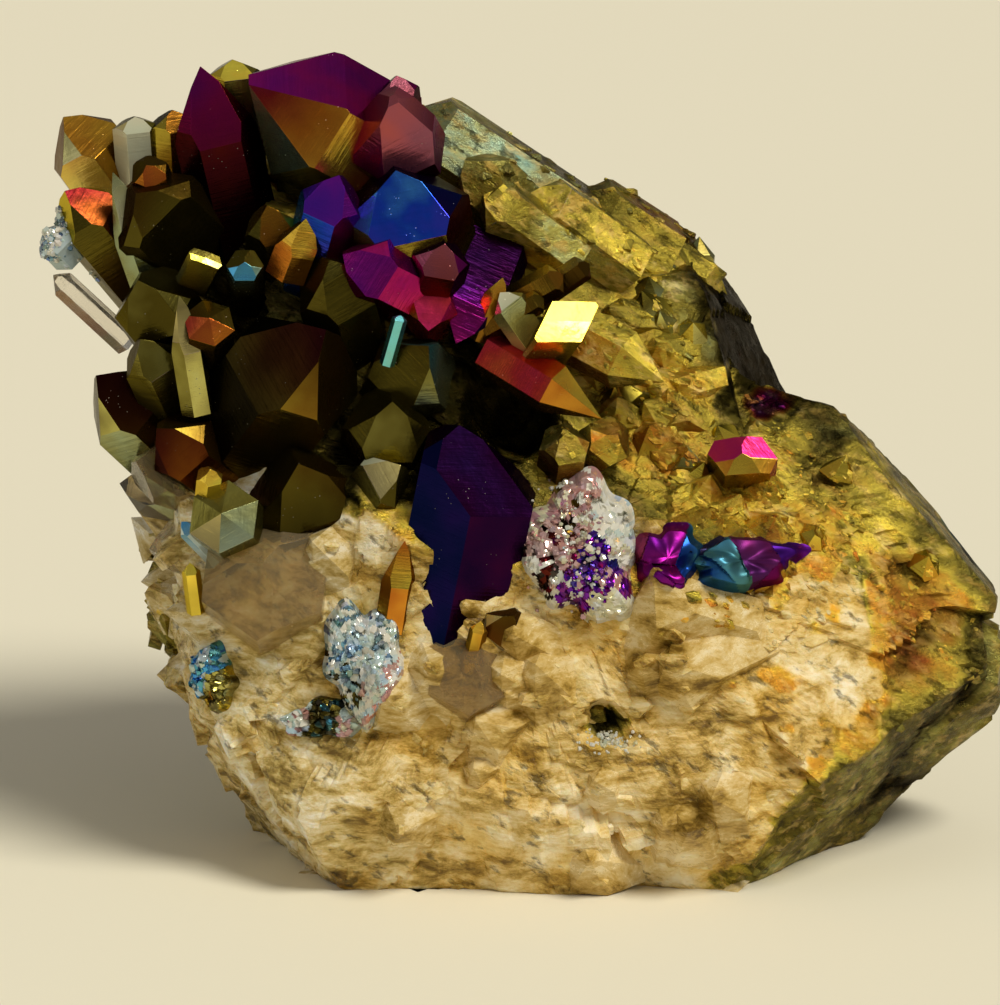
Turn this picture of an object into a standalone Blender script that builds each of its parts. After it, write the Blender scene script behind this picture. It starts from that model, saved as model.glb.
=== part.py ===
"""Titanium aura quartz: a palm-sized piece of broken quartz with crystals grown on it.

The piece leans back a little on its flat base. Its crystal-covered side is the face,
and places on it are given in millimetres as (right, up, out): right along +X, up and
out in the plane that leans back by LEAN_DEG.
"""
import math

import bmesh
import bpy
import numpy as np
from mathutils import Vector

# ---- driving dimensions, millimetres unless the name says otherwise
MM = 0.001
LEAN_DEG = 15.0             # how far the face leans back from upright
FACE_HEIGHT = 24.4          # height of the face's own zero point over the base
MIDDLE = (2.06, 1.71)       # middle of the footprint, right of and behind that zero point
HEART = (3.0, -2.0, -3.0)   # point inside the rock, seen by every broken face
BLANK_SIZE = 160.0          # block that the rock is broken from
TIP_SLOPE = 0.787           # a quartz tip widens by this much for each unit down its axis
TIP_RADIUS = 0.02           # blunt end of a tip
PLANAR_DEG = 0.4            # faces closer than this in angle are one face
SPALLS = 26                 # corners knocked off each mass of rock
SPALL_DEPTH = (0.8, 3.4)    # how deep, from and to
SPALL_BEHIND = 0.5          # how much they keep to the side away from the face
SPALL_PROBES = 4000         # rays that feel for the corner to knock off
SPALL_SEED = 5              # seed of the knocked-off corners
SMALL_SEED = 11             # seed of the small crystals
SMALL_LENGTH = 2.4          # length of a small crystal for its radius
LOOSE_TILT = 0.35           # how far chance tips a small crystal over
SEAT = 0.4                  # how far its tip goes on along its axis, of its radius

# Broken faces of the two masses of rock: a point on the face, and its outward direction.
BACK_MASS = (
    ((-4.6, 30.4, -8.0), (0.40, 0.85, 0.34)),
    ((11.8, 24.0, -14.0), (0.20, 0.90, 0.38)),
    ((15.2, 21.2, -13.0), (0.80, 0.56, 0.20)),
    ((20.2, 13.5, -11.0), (0.89, 0.37, 0.27)),
    ((21.8, 6.0, -11.0), (0.98, 0.05, -0.18)),
    ((20.0, -6.0, -10.0), (0.70, -0.70, -0.14)),
    ((4.5, 13.0, 7.0), (0.24, 0.46, 0.85)),
    ((-8.0, 12.0, 10.8), (0.02, 0.30, 0.95)),
    ((-20.0, 8.0, 9.0), (-0.36, 0.12, 0.92)),
    ((-6.0, -6.0, 13.6), (-0.10, -0.12, 0.99)),
    ((-10.0, 30.2, -5.0), (-0.06, 0.98, 0.14)),
    ((-21.5, 26.6, 1.0), (-0.44, 0.80, 0.41)),
    ((-27.0, 18.0, -3.0), (-0.98, -0.06, 0.18)),
    ((-24.0, 3.0, 5.0), (-0.86, -0.34, 0.38)),
    ((8.0, 24.0, -17.0), (0.16, 0.74, -0.66)),
    ((-12.0, 28.6, -9.0), (-0.20, 0.72, -0.66)),
    ((2.0, 10.0, -22.5), (0.06, 0.12, -0.99)),
    ((-17.0, 12.0, -16.0), (-0.60, 0.10, -0.80)),
    ((-12.0, -12.0, -16.0), (-0.52, -0.50, -0.70)),
)
FRONT_MASS = (
    ((6.0, -14.0, 16.8), (0.0, -0.08, 0.99)),
    ((-14.0, -10.0, 14.6), (-0.40, 0.04, 0.92)),
    ((4.0, -23.0, 15.4), (0.02, -0.52, 0.85)),
    ((20.0, 1.6, 9.5), (0.14, 0.60, 0.79)),
    ((28.0, -5.0, 10.0), (0.40, 0.20, 0.89)),
    ((31.9, 0.5, 0.2), (0.74, 0.64, 0.20)),
    ((37.4, -9.0, 0.0), (0.99, -0.02, 0.10)),
    ((30.2, -17.0, 9.6), (0.63, -0.68, 0.37)),
    ((28.0, -24.0, -2.0), (0.66, -0.74, -0.10)),
    ((23.0, 7.6, -2.0), (0.16, 0.90, -0.40)),
    ((30.0, -8.0, -12.0), (0.62, 0.10, -0.78)),
    ((6.0, -12.0, -20.5), (0.08, -0.16, -0.98)),
    ((-16.0, -16.0, -10.0), (-0.72, -0.30, -0.62)),
    ((-23.0, -12.0, 6.0), (-0.97, -0.10, 0.20)),
    ((-20.4, -19.0, 6.0), (-0.80, -0.56, 0.20)),
)

# Pits in the rock, as crystals that have fallen out: bottom, way it opens, radius, length.
PITS = {
    "foot_pit": ((7.6, -16.2, 14.6), (0.0, -0.1, -1.0), 1.5, 5.0),
    "throat": ((0.6, 6.2, 8.0), (-0.2, -0.2, -0.96), 2.6, 8.0),
}
# Nothing grows where it would close a pit: the middle of each one's opening, and its reach.
OPENINGS = (
    ((0.6, 6.2, 12.0), 3.6),
    ((7.6, -16.2, 16.0), 1.9),
)
# The two faces that broke clean and carry nothing: their points in the masses below.
CLEAN_BREAKS = ((20.2, 13.5, -11.0), (31.9, 0.5, 0.2))
BREAK_MARGIN = 0.9  # of a small crystal's radius, that it keeps from such a face

# Crystals: tip (right, up, out), the way it points, radius, length, then how its six
# sides are turned about its axis (turn, degrees, 0 with a side facing out) and, where it
# isn't regular, how near its outward side lies to the axis (front), how drawn out its tip
# is (steep) and how far its tip is off its axis (shift, along and across, of the radius).
CRYSTALS = {
    "violet_horn": ((-22.0, 32.0, 9.8), (-0.20, 0.90, 0.38), 2.7, 17.0, dict(turn=4, steep=1.6)),
    "magenta_roof": (
        (-18.4, 30.6, 11.0), (-0.76, 0.40, 0.51), 4.4, 13.0,
        dict(turn=-10, minor=0.0, late=(0.0, 0.0, 0.2, 0.35, 0.0, 0.0), flats=(1.05, 1.0, 1.1, 1.2, 1.0, 1.0)),
    ),
    "bronze_post": ((-19.8, 32.8, 4.6), (-0.06, 0.93, 0.36), 1.7, 10.0, dict(turn=10, steep=0.5)),
    "maroon_stub": ((-15.4, 32.6, 4.0), (0.0, 0.90, 0.40), 1.4, 8.0, dict(turn=20, steep=0.5)),
    "plum_block": (
        (-8.4, 27.6, 15.2), (-0.18, 0.28, 0.94), 3.0, 7.0,
        dict(turn=-8, front=0.9, shift=(-0.3, 0.3), late=(0.0, 0.0, 0.3, 0.0, 0.0, 0.0)),
    ),
    "plum_cap": ((-7.6, 31.4, 8.6), (-0.10, 0.90, 0.42), 1.4, 9.0, dict(turn=12, steep=0.7)),
    "cobalt_face": ((-7.6, 24.2, 13.9), (-0.14, 0.78, 0.61), 4.3, 12.0, dict(turn=4, steep=0.65)),
    "violet_cap": ((-11.7, 23.8, 15.0), (0.22, 0.76, 0.60), 2.2, 10.0, dict(turn=-14)),
    "copper_striped": ((-13.9, 20.9, 14.5), (0.34, 0.84, 0.42), 1.5, 5.0, dict(turn=30, steep=1.5)),
    "brown_flank": ((-17.0, 21.7, 12.5), (-0.10, 0.74, 0.68), 1.8, 9.0, dict(turn=15)),
    "plum_hollow": ((-11.4, 18.0, 16.2), (-0.70, 0.34, 0.62), 2.4, 10.0, dict(turn=-10)),
    "rose_lid": ((-4.0, 18.8, 15.4), (0.20, 0.66, 0.72), 1.9, 8.0, dict(turn=10, steep=0.7)),
    "ember_wedge": ((-5.2, 12.5, 15.0), (-0.05, -0.52, 0.85), 2.0, 8.0, dict(turn=0)),
    "indigo_blade": ((-3.2, 11.6, 14.0), (-0.26, -0.72, 0.64), 2.5, 10.0, dict(turn=-6, front=0.6, steep=1.5)),
    "teal_lath": ((-7.2, 13.6, 15.9), (0.26, 0.88, 0.40), 0.5, 4.0, dict(turn=0, steep=0.5)),
    "smoky_giant": ((-12.6, 12.5, 17.6), (0.45, 0.56, 0.70), 4.6, 15.0, dict(turn=-30)),
    "green_wedge": ((-12.4, 17.6, 16.0), (-0.16, 0.62, 0.76), 2.8, 11.0, dict(turn=20)),
    "teal_edge": ((-5.2, 11.4, 15.0), (0.30, 0.52, 0.80), 3.1, 11.0, dict(turn=-20)),
    "dark_low": ((-7.8, 7.3, 17.0), (0.10, 0.52, 0.85), 2.9, 11.0, dict(turn=12)),
    "brown_floor": ((-14.6, 2.8, 17.3), (-0.10, 0.46, 0.88), 4.6, 13.0, dict(turn=8, front=0.7)),
    "cream_green": ((-7.2, 2.7, 17.0), (0.50, 0.52, 0.69), 2.2, 9.0, dict(turn=-25, front=0.7)),
    "sage_table": ((-20.2, -0.8, 17.6), (-0.18, 0.26, 0.95), 2.4, 8.0, dict(turn=-10, steep=0.3, minor=0.0)),
    "frost_knob": ((-33.2, 19.9, 8.4), (-0.50, 0.55, 0.67), 1.3, 3.0, dict(turn=6, steep=0.6)),
    "gold_glint": ((-21.0, 2.4, 17.0), (0.10, 0.70, 0.71), 0.9, 5.0, dict(turn=30, steep=0.7)),
    "indigo_giant": (
        (-0.9, 4.9, 17.3), (0.19, 0.92, 0.33), 4.3, 18.0,
        dict(turn=30, steep=0.6, shift=(-0.2, -0.5)),
    ),
    "orange_sliver": ((-6.9, -2.8, 18.2), (0.14, 0.90, 0.40), 1.1, 7.0, dict(turn=10, steep=2.4)),
    "hidden_shoulder": ((-8.4, 31.2, -2.0), (0.06, 0.96, 0.26), 5.0, 14.0, dict(turn=15, steep=0.6)),
    "amber_blade": ((7.4, 6.1, 13.9), (0.82, -0.51, 0.26), 1.7, 10.0, dict(turn=14, steep=2.0, minor=0.0)),
    "yellow_table": ((4.9, 13.2, 15.4), (0.26, 0.30, 0.92), 1.9, 7.0, dict(turn=22, steep=0.25, minor=0.0)),
    "bronze_bar": ((4.6, 16.6, 12.9), (0.84, 0.46, 0.28), 1.1, 6.0, dict(turn=0, steep=0.5)),
    "bronze_stub": ((6.5, 17.5, 11.7), (0.80, 0.54, 0.26), 0.9, 5.0, dict(turn=10, steep=0.5)),
    "bronze_rail": ((3.2, 14.9, 13.6), (0.84, 0.46, 0.28), 0.8, 5.0, dict(turn=-6, steep=0.5)),
    "pale_facet": ((0.0, 15.3, 13.8), (-0.55, 0.78, 0.30), 1.3, 6.0, dict(turn=10, front=0.7, steep=0.8)),
    "copper_shard": ((0.2, 16.4, 13.4), (0.36, 0.88, 0.30), 0.8, 5.0, dict(turn=24, steep=1.5)),
    "fuchsia_cap": ((17.7, 3.7, 14.2), (0.0, 0.34, 0.94), 2.3, 6.0, dict(turn=10, steep=0.4)),
    "peacock_left": ((11.4, -1.7, 16.2), (-0.10, 0.78, 0.62), 2.6, 8.0, dict(turn=6, steep=0.8)),
    "peacock_middle": ((17.4, -5.3, 15.9), (0.93, -0.10, -0.28), 1.3, 6.0, dict(turn=8, steep=2.4)),
    "peacock_right": ((22.2, -3.9, 13.7), (0.92, -0.16, -0.32), 1.7, 9.0, dict(turn=14, steep=3.0)),
    "frost_block": ((6.6, 1.9, 16.6), (0.10, 0.72, 0.69), 3.9, 12.0, dict(turn=-10, steep=0.8)),
    "frost_mound": ((-9.8, -7.4, 17.6), (0.10, 0.56, 0.82), 2.9, 9.0, dict(turn=20, steep=0.9)),
    "foot_glint": ((-1.4, -8.6, 18.6), (0.20, 0.86, 0.47), 0.6, 4.0, dict(turn=0)),
    "edge_glint": ((-22.6, -4.4, 14.0), (-0.10, 0.90, 0.42), 0.6, 4.0, dict(turn=0)),
    "pale_stripe": ((-23.2, -1.4, 14.4), (-0.62, 0.66, 0.42), 0.7, 5.0, dict(turn=0)),
    "gold_corner": ((-32.4, 28.6, 3.4), (-0.56, 0.78, 0.30), 2.8, 15.0, dict(turn=32, steep=0.9)),
    "red_corner": ((-32.0, 22.9, 8.8), (-0.54, 0.66, 0.52), 2.3, 13.0, dict(turn=42)),
    "pale_step": ((-27.0, 28.5, 5.6), (-0.06, 0.92, 0.38), 1.5, 8.0, dict(turn=8, steep=0.4)),
    "brown_step": ((-24.2, 29.0, 6.0), (-0.04, 0.92, 0.38), 1.6, 10.0, dict(turn=24, steep=0.6)),
    "copper_bump": ((-25.9, 24.7, 11.2), (-0.20, 0.50, 0.84), 1.3, 7.0, dict(turn=10, steep=0.6)),
    "olive_slab": ((-26.6, 22.6, 12.2), (-0.46, 0.44, 0.77), 3.3, 12.0, dict(turn=-2, front=0.6, steep=0.7)),
    "pale_strip": ((-28.4, 24.2, 10.2), (-0.30, 0.89, 0.34), 1.4, 11.0, dict(turn=10, steep=3.0)),
    "blue_chip": ((-18.6, 17.5, 14.6), (0.0, 0.40, 0.92), 1.2, 7.0, dict(turn=0, steep=0.4)),
    "lemon_glint": ((-21.4, 17.8, 14.9), (0.80, 0.36, 0.48), 0.9, 5.0, dict(turn=20)),
    "olive_hood": ((-26.4, 16.2, 13.6), (-0.34, 0.52, 0.79), 2.9, 12.0, dict(turn=-24)),
    "pale_lath": ((-23.3, 15.0, 15.8), (-0.14, 0.93, 0.34), 1.1, 9.0, dict(turn=16, steep=3.0)),
    "rust_top": ((-21.1, 13.4, 16.2), (0.06, 0.46, 0.89), 1.7, 10.0, dict(turn=-10, steep=0.35, minor=0.0)),
    "olive_fan": ((-26.2, 11.9, 13.8), (-0.30, 0.70, 0.65), 1.9, 10.0, dict(turn=16)),
    "left_shield": ((-29.6, 9.3, 10.8), (-0.60, 0.58, 0.55), 3.1, 13.0, dict(turn=12)),
    "amber_dark": ((-25.0, 5.4, 14.4), (-0.58, 0.42, 0.70), 2.5, 10.0, dict(turn=-18)),
    "brown_wedge": ((1.0, -8.2, 18.4), (0.30, 0.40, 0.86), 1.6, 7.0, dict(turn=0)),
    "azure_ball": ((-23.6, -12.0, 11.4), (-0.66, -0.06, 0.75), 1.9, 6.0, dict(turn=12)),
    "green_ball": ((-21.0, -14.4, 13.4), (-0.44, -0.14, 0.88), 1.3, 5.0, dict(turn=0)),
    "ridge_green": ((-8.0, 28.3, 1.2), (-0.83, 0.55, 0.06), 3.9, 16.0, dict(turn=20, steep=0.7)),
    "ridge_olive": ((-2.6, 25.2, 7.4), (-0.60, 0.60, 0.52), 2.3, 9.0, dict(turn=-16, steep=0.8)),
    "ridge_gold": ((-1.2, 22.6, 9.4), (-0.72, 0.50, 0.48), 1.9, 9.0, dict(turn=10, steep=0.7)),
    "ridge_straw": ((2.2, 22.8, 6.4), (-0.76, 0.54, 0.36), 2.2, 10.0, dict(turn=24, steep=0.7)),
    "ridge_bronze": ((4.6, 22.4, 0.0), (-0.80, 0.50, 0.33), 3.2, 9.0, dict(turn=16, steep=0.7)),
    "ochre_slab": ((12.0, 8.8, 12.4), (0.84, -0.46, 0.28), 2.0, 8.0, dict(turn=12, steep=1.4, minor=0.0)),
    "ochre_left": ((4.9, 5.2, 15.4), (0.10, 0.62, 0.78), 1.7, 6.0, dict(turn=24, steep=0.8)),
    "ochre_right": ((8.6, 4.9, 13.9), (0.50, 0.30, 0.81), 1.7, 7.0, dict(turn=26, steep=0.6)),
    "smoky_edge": ((-26.6, 3.0, 12.6), (-0.62, 0.22, 0.75), 2.2, 9.0, dict(turn=10)),
    "brown_window": ((-17.2, -4.4, 17.6), (-0.06, 0.30, 0.95), 4.4, 10.0, dict(turn=24, steep=0.5)),
    "pale_window": ((-2.0, -11.6, 18.9), (0.10, 0.30, 0.95), 3.0, 8.0, dict(turn=-12, steep=0.5)),
    "clear_corner": ((-33.0, 16.8, 6.0), (-0.66, 0.62, 0.42), 1.0, 7.0, dict(turn=16)),
    "edge_upper": ((-28.0, 1.4, 8.0), (-0.86, 0.16, 0.48), 1.8, 8.0, dict(turn=0)),
    "edge_middle": ((-25.8, -3.4, 8.6), (-0.86, -0.04, 0.50), 1.9, 8.0, dict(turn=20)),
    "edge_lower": ((-24.0, -8.6, 9.4), (-0.84, -0.10, 0.53), 1.7, 7.0, dict(turn=-15)),
}

# Belts of small crystals and broken slabs: how many, the middle of the belt seen from the
# heart (right, up, out), its spread, the radius from and to, how far they stand out (of
# the radius), how flat they are, and the way they drift as they lie over.
SMALL_BELTS = (
    ("ridge_slabs", 18, (0.20, 0.93, 0.10), 0.22, 2.4, 4.0, 0.02, 0.45, (-0.50, 0.20, 0.50)),
    ("ridge_crystals", 8, (0.22, 0.93, 0.10), 0.24, 1.2, 2.0, 0.30, 0.80, (-0.50, 0.30, 0.30)),
    ("slope_slabs", 18, (0.44, 0.66, 0.60), 0.28, 2.4, 4.0, 0.10, 0.45, (-0.50, 0.40, 0.40)),
    ("slope_crystals", 12, (0.46, 0.66, 0.58), 0.34, 1.2, 2.0, 0.35, 0.80, (-0.40, 0.40, 0.10)),
    ("shelf_slabs", 16, (0.80, 0.06, 0.58), 0.32, 2.6, 4.4, 0.06, 0.45, (0.40, 0.40, 0.50)),
    ("shelf_crystals", 10, (0.82, 0.10, 0.56), 0.26, 1.0, 1.6, 0.25, 0.80, (0.10, 0.30, 0.10)),
    ("foot_lumps", 30, (0.0, -0.56, 0.82), 0.60, 3.6, 6.0, 0.04, 0.45, (-0.40, 0.30, 0.60)),
    ("foot_crystals", 8, (-0.10, -0.46, 0.86), 0.46, 1.2, 2.4, 0.15, 0.60, (-0.30, 0.20, 0.40)),
    ("left_side", 14, (-0.95, -0.12, 0.20), 0.40, 1.4, 2.6, 0.50, 0.90, (-0.10, 0.30, 0.20)),
    ("back_slabs", 28, (-0.16, 0.22, -0.96), 0.70, 3.4, 6.0, 0.04, 0.45, (-0.40, 0.40, -0.40)),
    ("back_crystals", 10, (-0.30, 0.36, -0.88), 0.60, 1.6, 2.8, 0.40, 0.90, (-0.20, 0.40, 0.0)),
    ("top_left", 10, (-0.60, 0.76, -0.10), 0.34, 1.4, 2.4, 0.90, 0.90, (-0.20, 0.50, 0.10)),
)


def unit(vector):
    """The same direction with a length of one."""
    vector = np.asarray(vector, dtype=float)
    return vector / np.linalg.norm(vector)


def to_world(points):
    """Turn (right, up, out) on the leaning face into metres with +Z up."""
    points = np.asarray(points, dtype=float)
    lean = math.radians(LEAN_DEG)
    right, up, out = points[..., 0], points[..., 1], points[..., 2]
    behind = up * math.sin(lean) - out * math.cos(lean)
    height = up * math.cos(lean) + out * math.sin(lean) + FACE_HEIGHT
    return np.stack((right - MIDDLE[0], behind - MIDDLE[1], height), axis=-1) * MM


def mass_reach(mass, directions):
    """How far one mass goes along each direction from the heart, and the face met there.

    The mass is convex, so it ends at the nearest of its faces that lie ahead.
    """
    normals = np.array([unit(normal) for _, normal in mass])
    offsets = np.array([np.dot(unit(normal), np.subtract(point, HEART)) for point, normal in mass])
    slope = directions @ normals.T
    distance = np.where(slope > 1e-6, offsets / np.maximum(slope, 1e-6), np.inf)
    return distance.min(axis=1), normals[distance.argmin(axis=1)]


def spalled(mass):
    """The mass with corners knocked off behind: each cut takes the outermost bit one way."""
    chance = np.random.RandomState(SPALL_SEED)
    probes = chance.normal(size=(SPALL_PROBES, 3))
    probes /= np.linalg.norm(probes, axis=1, keepdims=True)
    faces = list(mass)
    for _ in range(SPALLS):
        right, up, out = chance.normal(size=3)
        way = unit((right, up, -abs(out) - SPALL_BEHIND))
        depth = chance.uniform(*SPALL_DEPTH)
        reach, _ = mass_reach(faces, probes)
        outermost = (probes * reach[:, None] @ way).max()
        faces.append((np.asarray(HEART) + way * (outermost - depth), way))
    return faces


def rock_reach(masses, directions):
    """Distance from the heart to the rock's surface, and the outward way of the face met.

    The rock reaches as far as the further of its masses.
    """
    reach = np.zeros(len(directions))
    facing = np.zeros((len(directions), 3))
    for mass in masses:
        ends, normals = mass_reach(mass, directions)
        further = ends > reach
        reach[further] = ends[further]
        facing[further] = normals[further]
    return reach, facing


def near_clean_break(masses, directions, margins):
    """True where a face that broke clean lies at the surface, or within the margin behind it."""
    near = np.zeros(len(directions), dtype=bool)
    reach, _ = rock_reach(masses, directions)
    for mass in masses:
        ends, _ = mass_reach(mass, directions)
        for point, way in mass:
            if tuple(point) not in CLEAN_BREAKS:
                continue
            behind, _ = mass_reach(((point, way),), directions)
            near |= (ends > reach - 0.01) & (behind < reach + margins)
    return near


def near_opening(points, radii):
    """True where something of that radius would close one of the pits."""
    near = np.zeros(len(points), dtype=bool)
    for middle, reach in OPENINGS:
        near |= np.linalg.norm(points - np.asarray(middle), axis=1) < radii + 0.6 * reach
    return near


def crystal_rings(
    tip, points_to, radius, length, turn=0.0, front=1.0, steep=1.0, shift=(0.0, 0.0), minor=0.22,
    late=(0.0,) * 6, flats=(1.0,) * 6,
):
    """Rings of six corners from the tip down to the root of one quartz crystal.

    At a depth below the tip each side lies off the axis by the smaller of its full
    distance and a distance that grows from the tip; three of the six tip faces start a
    little further out, so they are the small ones. Neighbouring sides meet in a corner.
    """
    axis = unit(points_to)
    guide = np.array((0.0, 1.0, 0.0)) if abs(axis[2]) > 0.95 else np.array((0.0, 0.0, 1.0))
    along = unit(guide - guide.dot(axis) * axis)
    across = np.cross(axis, along)
    angles = np.radians(turn + 60.0 * np.arange(6))
    normals = np.outer(np.cos(angles), along) + np.outer(np.sin(angles), across)
    full = radius * np.array(flats) * np.where(np.arange(6) == 0, front, 1.0)
    lean = radius * (shift[0] * np.cos(angles) + shift[1] * np.sin(angles))
    late = radius * (minor * (np.arange(6) % 2) + np.array(late))
    slope = TIP_SLOPE / steep
    start = TIP_RADIUS + late
    shoulders = (full - lean - start) / slope
    fades = late / slope
    depths = np.unique(np.round(np.concatenate(((0.0, length), shoulders, fades)), 4))
    depths = depths[(depths >= 0.0) & (depths <= length)]
    rings = []
    for depth in depths:
        sides = np.minimum(full, lean + start + slope * depth)
        for _ in range(2):
            sides = np.minimum(sides, np.roll(sides, 1) + np.roll(sides, -1))
        following = np.roll(sides, -1)
        toward = (sides - following / 2.0) / 0.75
        beyond = (following - sides / 2.0) / 0.75
        corners = toward[:, None] * normals + beyond[:, None] * np.roll(normals, -1, axis=0)
        rings.append(np.asarray(tip) - axis * depth + corners)
    return np.concatenate(rings)


def add_hull(target, points):
    """Add the closed flat-faced solid that just holds the given points."""
    solid = bmesh.new()
    corners = [solid.verts.new(Vector(point)) for point in points]
    bmesh.ops.remove_doubles(solid, verts=corners, dist=2e-6)
    hull = bmesh.ops.convex_hull(solid, input=solid.verts[:])
    spare = {item for item in hull["geom_interior"] + hull["geom_unused"] if isinstance(item, bmesh.types.BMVert)}
    bmesh.ops.delete(solid, geom=list(spare), context="VERTS")
    bmesh.ops.dissolve_limit(
        solid, angle_limit=math.radians(PLANAR_DEG), verts=solid.verts[:], edges=solid.edges[:]
    )
    bmesh.ops.recalc_face_normals(solid, faces=solid.faces[:])
    copy = {vertex: target.verts.new(vertex.co) for vertex in solid.verts}
    for face in solid.faces:
        target.faces.new([copy[vertex] for vertex in face.verts])
    solid.free()


def broken_block(mass):
    """A block of rock: a blank with one flat cut for each broken face."""
    block = bmesh.new()
    bmesh.ops.create_cube(block, size=BLANK_SIZE * MM)
    origin = to_world((0.0, 0.0, 0.0))
    for point, normal in mass:
        away = to_world(unit(normal)) - origin
        bmesh.ops.bisect_plane(
            block,
            geom=block.verts[:] + block.edges[:] + block.faces[:],
            plane_co=Vector(to_world(point)),
            plane_no=Vector(away),
            clear_outer=True,
        )
        bmesh.ops.holes_fill(block, edges=block.edges[:])
    bmesh.ops.recalc_face_normals(block, faces=block.faces[:])
    return block


def small_crystals(masses):
    """Rings of the small crystals and slabs, seated on the rock in belts around it.

    Each one stands along the way its broken face looks, leans over by the belt's drift
    and by a little chance, and has its tip just off the rock.
    """
    chance = np.random.RandomState(SMALL_SEED)
    for _, count, middle, spread, smallest, largest, standing, front, drift in SMALL_BELTS:
        ways = unit(middle) + spread * chance.uniform(-1.0, 1.0, (count, 3))
        ways /= np.linalg.norm(ways, axis=1, keepdims=True)
        reach, facing = rock_reach(masses, ways)
        tilts = chance.uniform(-LOOSE_TILT, LOOSE_TILT, (count, 3))
        radii = chance.uniform(smallest, largest, count)
        turns = chance.uniform(-30.0, 30.0, count)
        crowding = near_clean_break(masses, ways, BREAK_MARGIN * radii)
        crowding |= near_opening(np.asarray(HEART) + ways * reach[:, None], radii)
        for way, far, face, tilt, radius, turn, skip in zip(
            ways, reach, facing, tilts, radii, turns, crowding
        ):
            if skip:
                continue
            axis = unit(face + drift + tilt)
            tip = np.asarray(HEART) + way * far + face * radius * standing + axis * radius * SEAT
            yield crystal_rings(tip, axis, radius, radius * SMALL_LENGTH, turn=turn, front=front, minor=0.0)


def mesh_object(name, shape):
    """Put a bmesh into a new object of the scene."""
    mesh = bpy.data.meshes.new(name)
    shape.to_mesh(mesh)
    shape.free()
    thing = bpy.data.objects.new(name, mesh)
    bpy.context.scene.collection.objects.link(thing)
    return thing


def apply_boolean(thing, other, operation, self_crossing=False):
    """Join, or cut away, another object and keep the result as plain mesh."""
    modifier = thing.modifiers.new(operation.title(), "BOOLEAN")
    modifier.operation = operation
    modifier.solver = "EXACT"
    modifier.use_self = self_crossing
    modifier.object = other
    seen = thing.evaluated_get(bpy.context.evaluated_depsgraph_get())
    mesh = bpy.data.meshes.new_from_object(seen)
    thing.modifiers.clear()
    thing.data = mesh
    bpy.data.objects.remove(other)


def keep_outer_skin(thing):
    """Fill the sealed pockets between crystals: only the largest connected skin stays."""
    shape = bmesh.new()
    shape.from_mesh(thing.data)
    unseen = set(shape.verts)
    skins = []
    while unseen:
        waiting = [unseen.pop()]
        skin = []
        while waiting:
            vertex = waiting.pop()
            skin.append(vertex)
            near = {edge.other_vert(vertex) for edge in vertex.link_edges} & unseen
            unseen -= near
            waiting.extend(near)
        skins.append(skin)
    largest = max(skins, key=len)
    spare = [vertex for skin in skins if skin is not largest for vertex in skin]
    bmesh.ops.delete(shape, geom=spare, context="VERTS")
    shape.to_mesh(thing.data)
    shape.free()


def coated_quartz():
    """Bronze-gold metal film on quartz."""
    material = bpy.data.materials.new("coated_quartz")
    material.use_nodes = True
    shader = material.node_tree.nodes["Principled BSDF"]
    shader.inputs["Base Color"].default_value = (0.36, 0.25, 0.08, 1.0)
    shader.inputs["Metallic"].default_value = 0.7
    shader.inputs["Roughness"].default_value = 0.25
    return material


def build_cluster():
    """The whole piece: two masses of rock, their crystals and the flat base."""
    back_mass = spalled(BACK_MASS)
    front_mass = spalled(FRONT_MASS)
    cluster = mesh_object("quartz_cluster", broken_block(back_mass))
    apply_boolean(cluster, mesh_object("front_mass", broken_block(front_mass)), "UNION")
    grown = bmesh.new()
    for tip, points_to, radius, length, form in CRYSTALS.values():
        add_hull(grown, to_world(crystal_rings(tip, points_to, radius, length, **form)))
    for rings in small_crystals((back_mass, front_mass)):
        add_hull(grown, to_world(rings))
    apply_boolean(cluster, mesh_object("grown_crystals", grown), "UNION", self_crossing=True)
    fallen_out = bmesh.new()
    for bottom, points_to, radius, length in PITS.values():
        add_hull(fallen_out, to_world(crystal_rings(bottom, points_to, radius, length, minor=0.0)))
    apply_boolean(cluster, mesh_object("fallen_out", fallen_out), "DIFFERENCE", self_crossing=True)
    bench = bmesh.new()
    bmesh.ops.create_cube(bench, size=BLANK_SIZE * MM)
    bmesh.ops.translate(bench, verts=bench.verts[:], vec=Vector((0.0, 0.0, -BLANK_SIZE * MM / 2.0)))
    apply_boolean(cluster, mesh_object("bench", bench), "DIFFERENCE")
    keep_outer_skin(cluster)
    return cluster


for existing in list(bpy.data.objects):
    bpy.data.objects.remove(existing)
quartz_cluster = build_cluster()
quartz_cluster.data.materials.clear()
quartz_cluster.data.materials.append(coated_quartz())
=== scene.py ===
import math
import bpy
import bmesh
import numpy as np
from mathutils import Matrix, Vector
from mathutils.bvhtree import BVHTree


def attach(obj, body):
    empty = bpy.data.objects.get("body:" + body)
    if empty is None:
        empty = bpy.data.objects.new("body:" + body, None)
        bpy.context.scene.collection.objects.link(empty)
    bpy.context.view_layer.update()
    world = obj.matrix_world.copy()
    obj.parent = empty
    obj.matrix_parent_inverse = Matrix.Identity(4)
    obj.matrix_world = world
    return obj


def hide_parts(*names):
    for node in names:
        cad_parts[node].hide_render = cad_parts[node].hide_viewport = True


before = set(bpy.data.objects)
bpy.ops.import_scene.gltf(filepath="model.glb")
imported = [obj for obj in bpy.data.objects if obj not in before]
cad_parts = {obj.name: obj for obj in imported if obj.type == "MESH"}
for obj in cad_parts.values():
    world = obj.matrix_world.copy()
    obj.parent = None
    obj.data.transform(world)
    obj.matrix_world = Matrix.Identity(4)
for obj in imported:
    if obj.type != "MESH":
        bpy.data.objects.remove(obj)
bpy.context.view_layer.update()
print("frame loaded")

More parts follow.
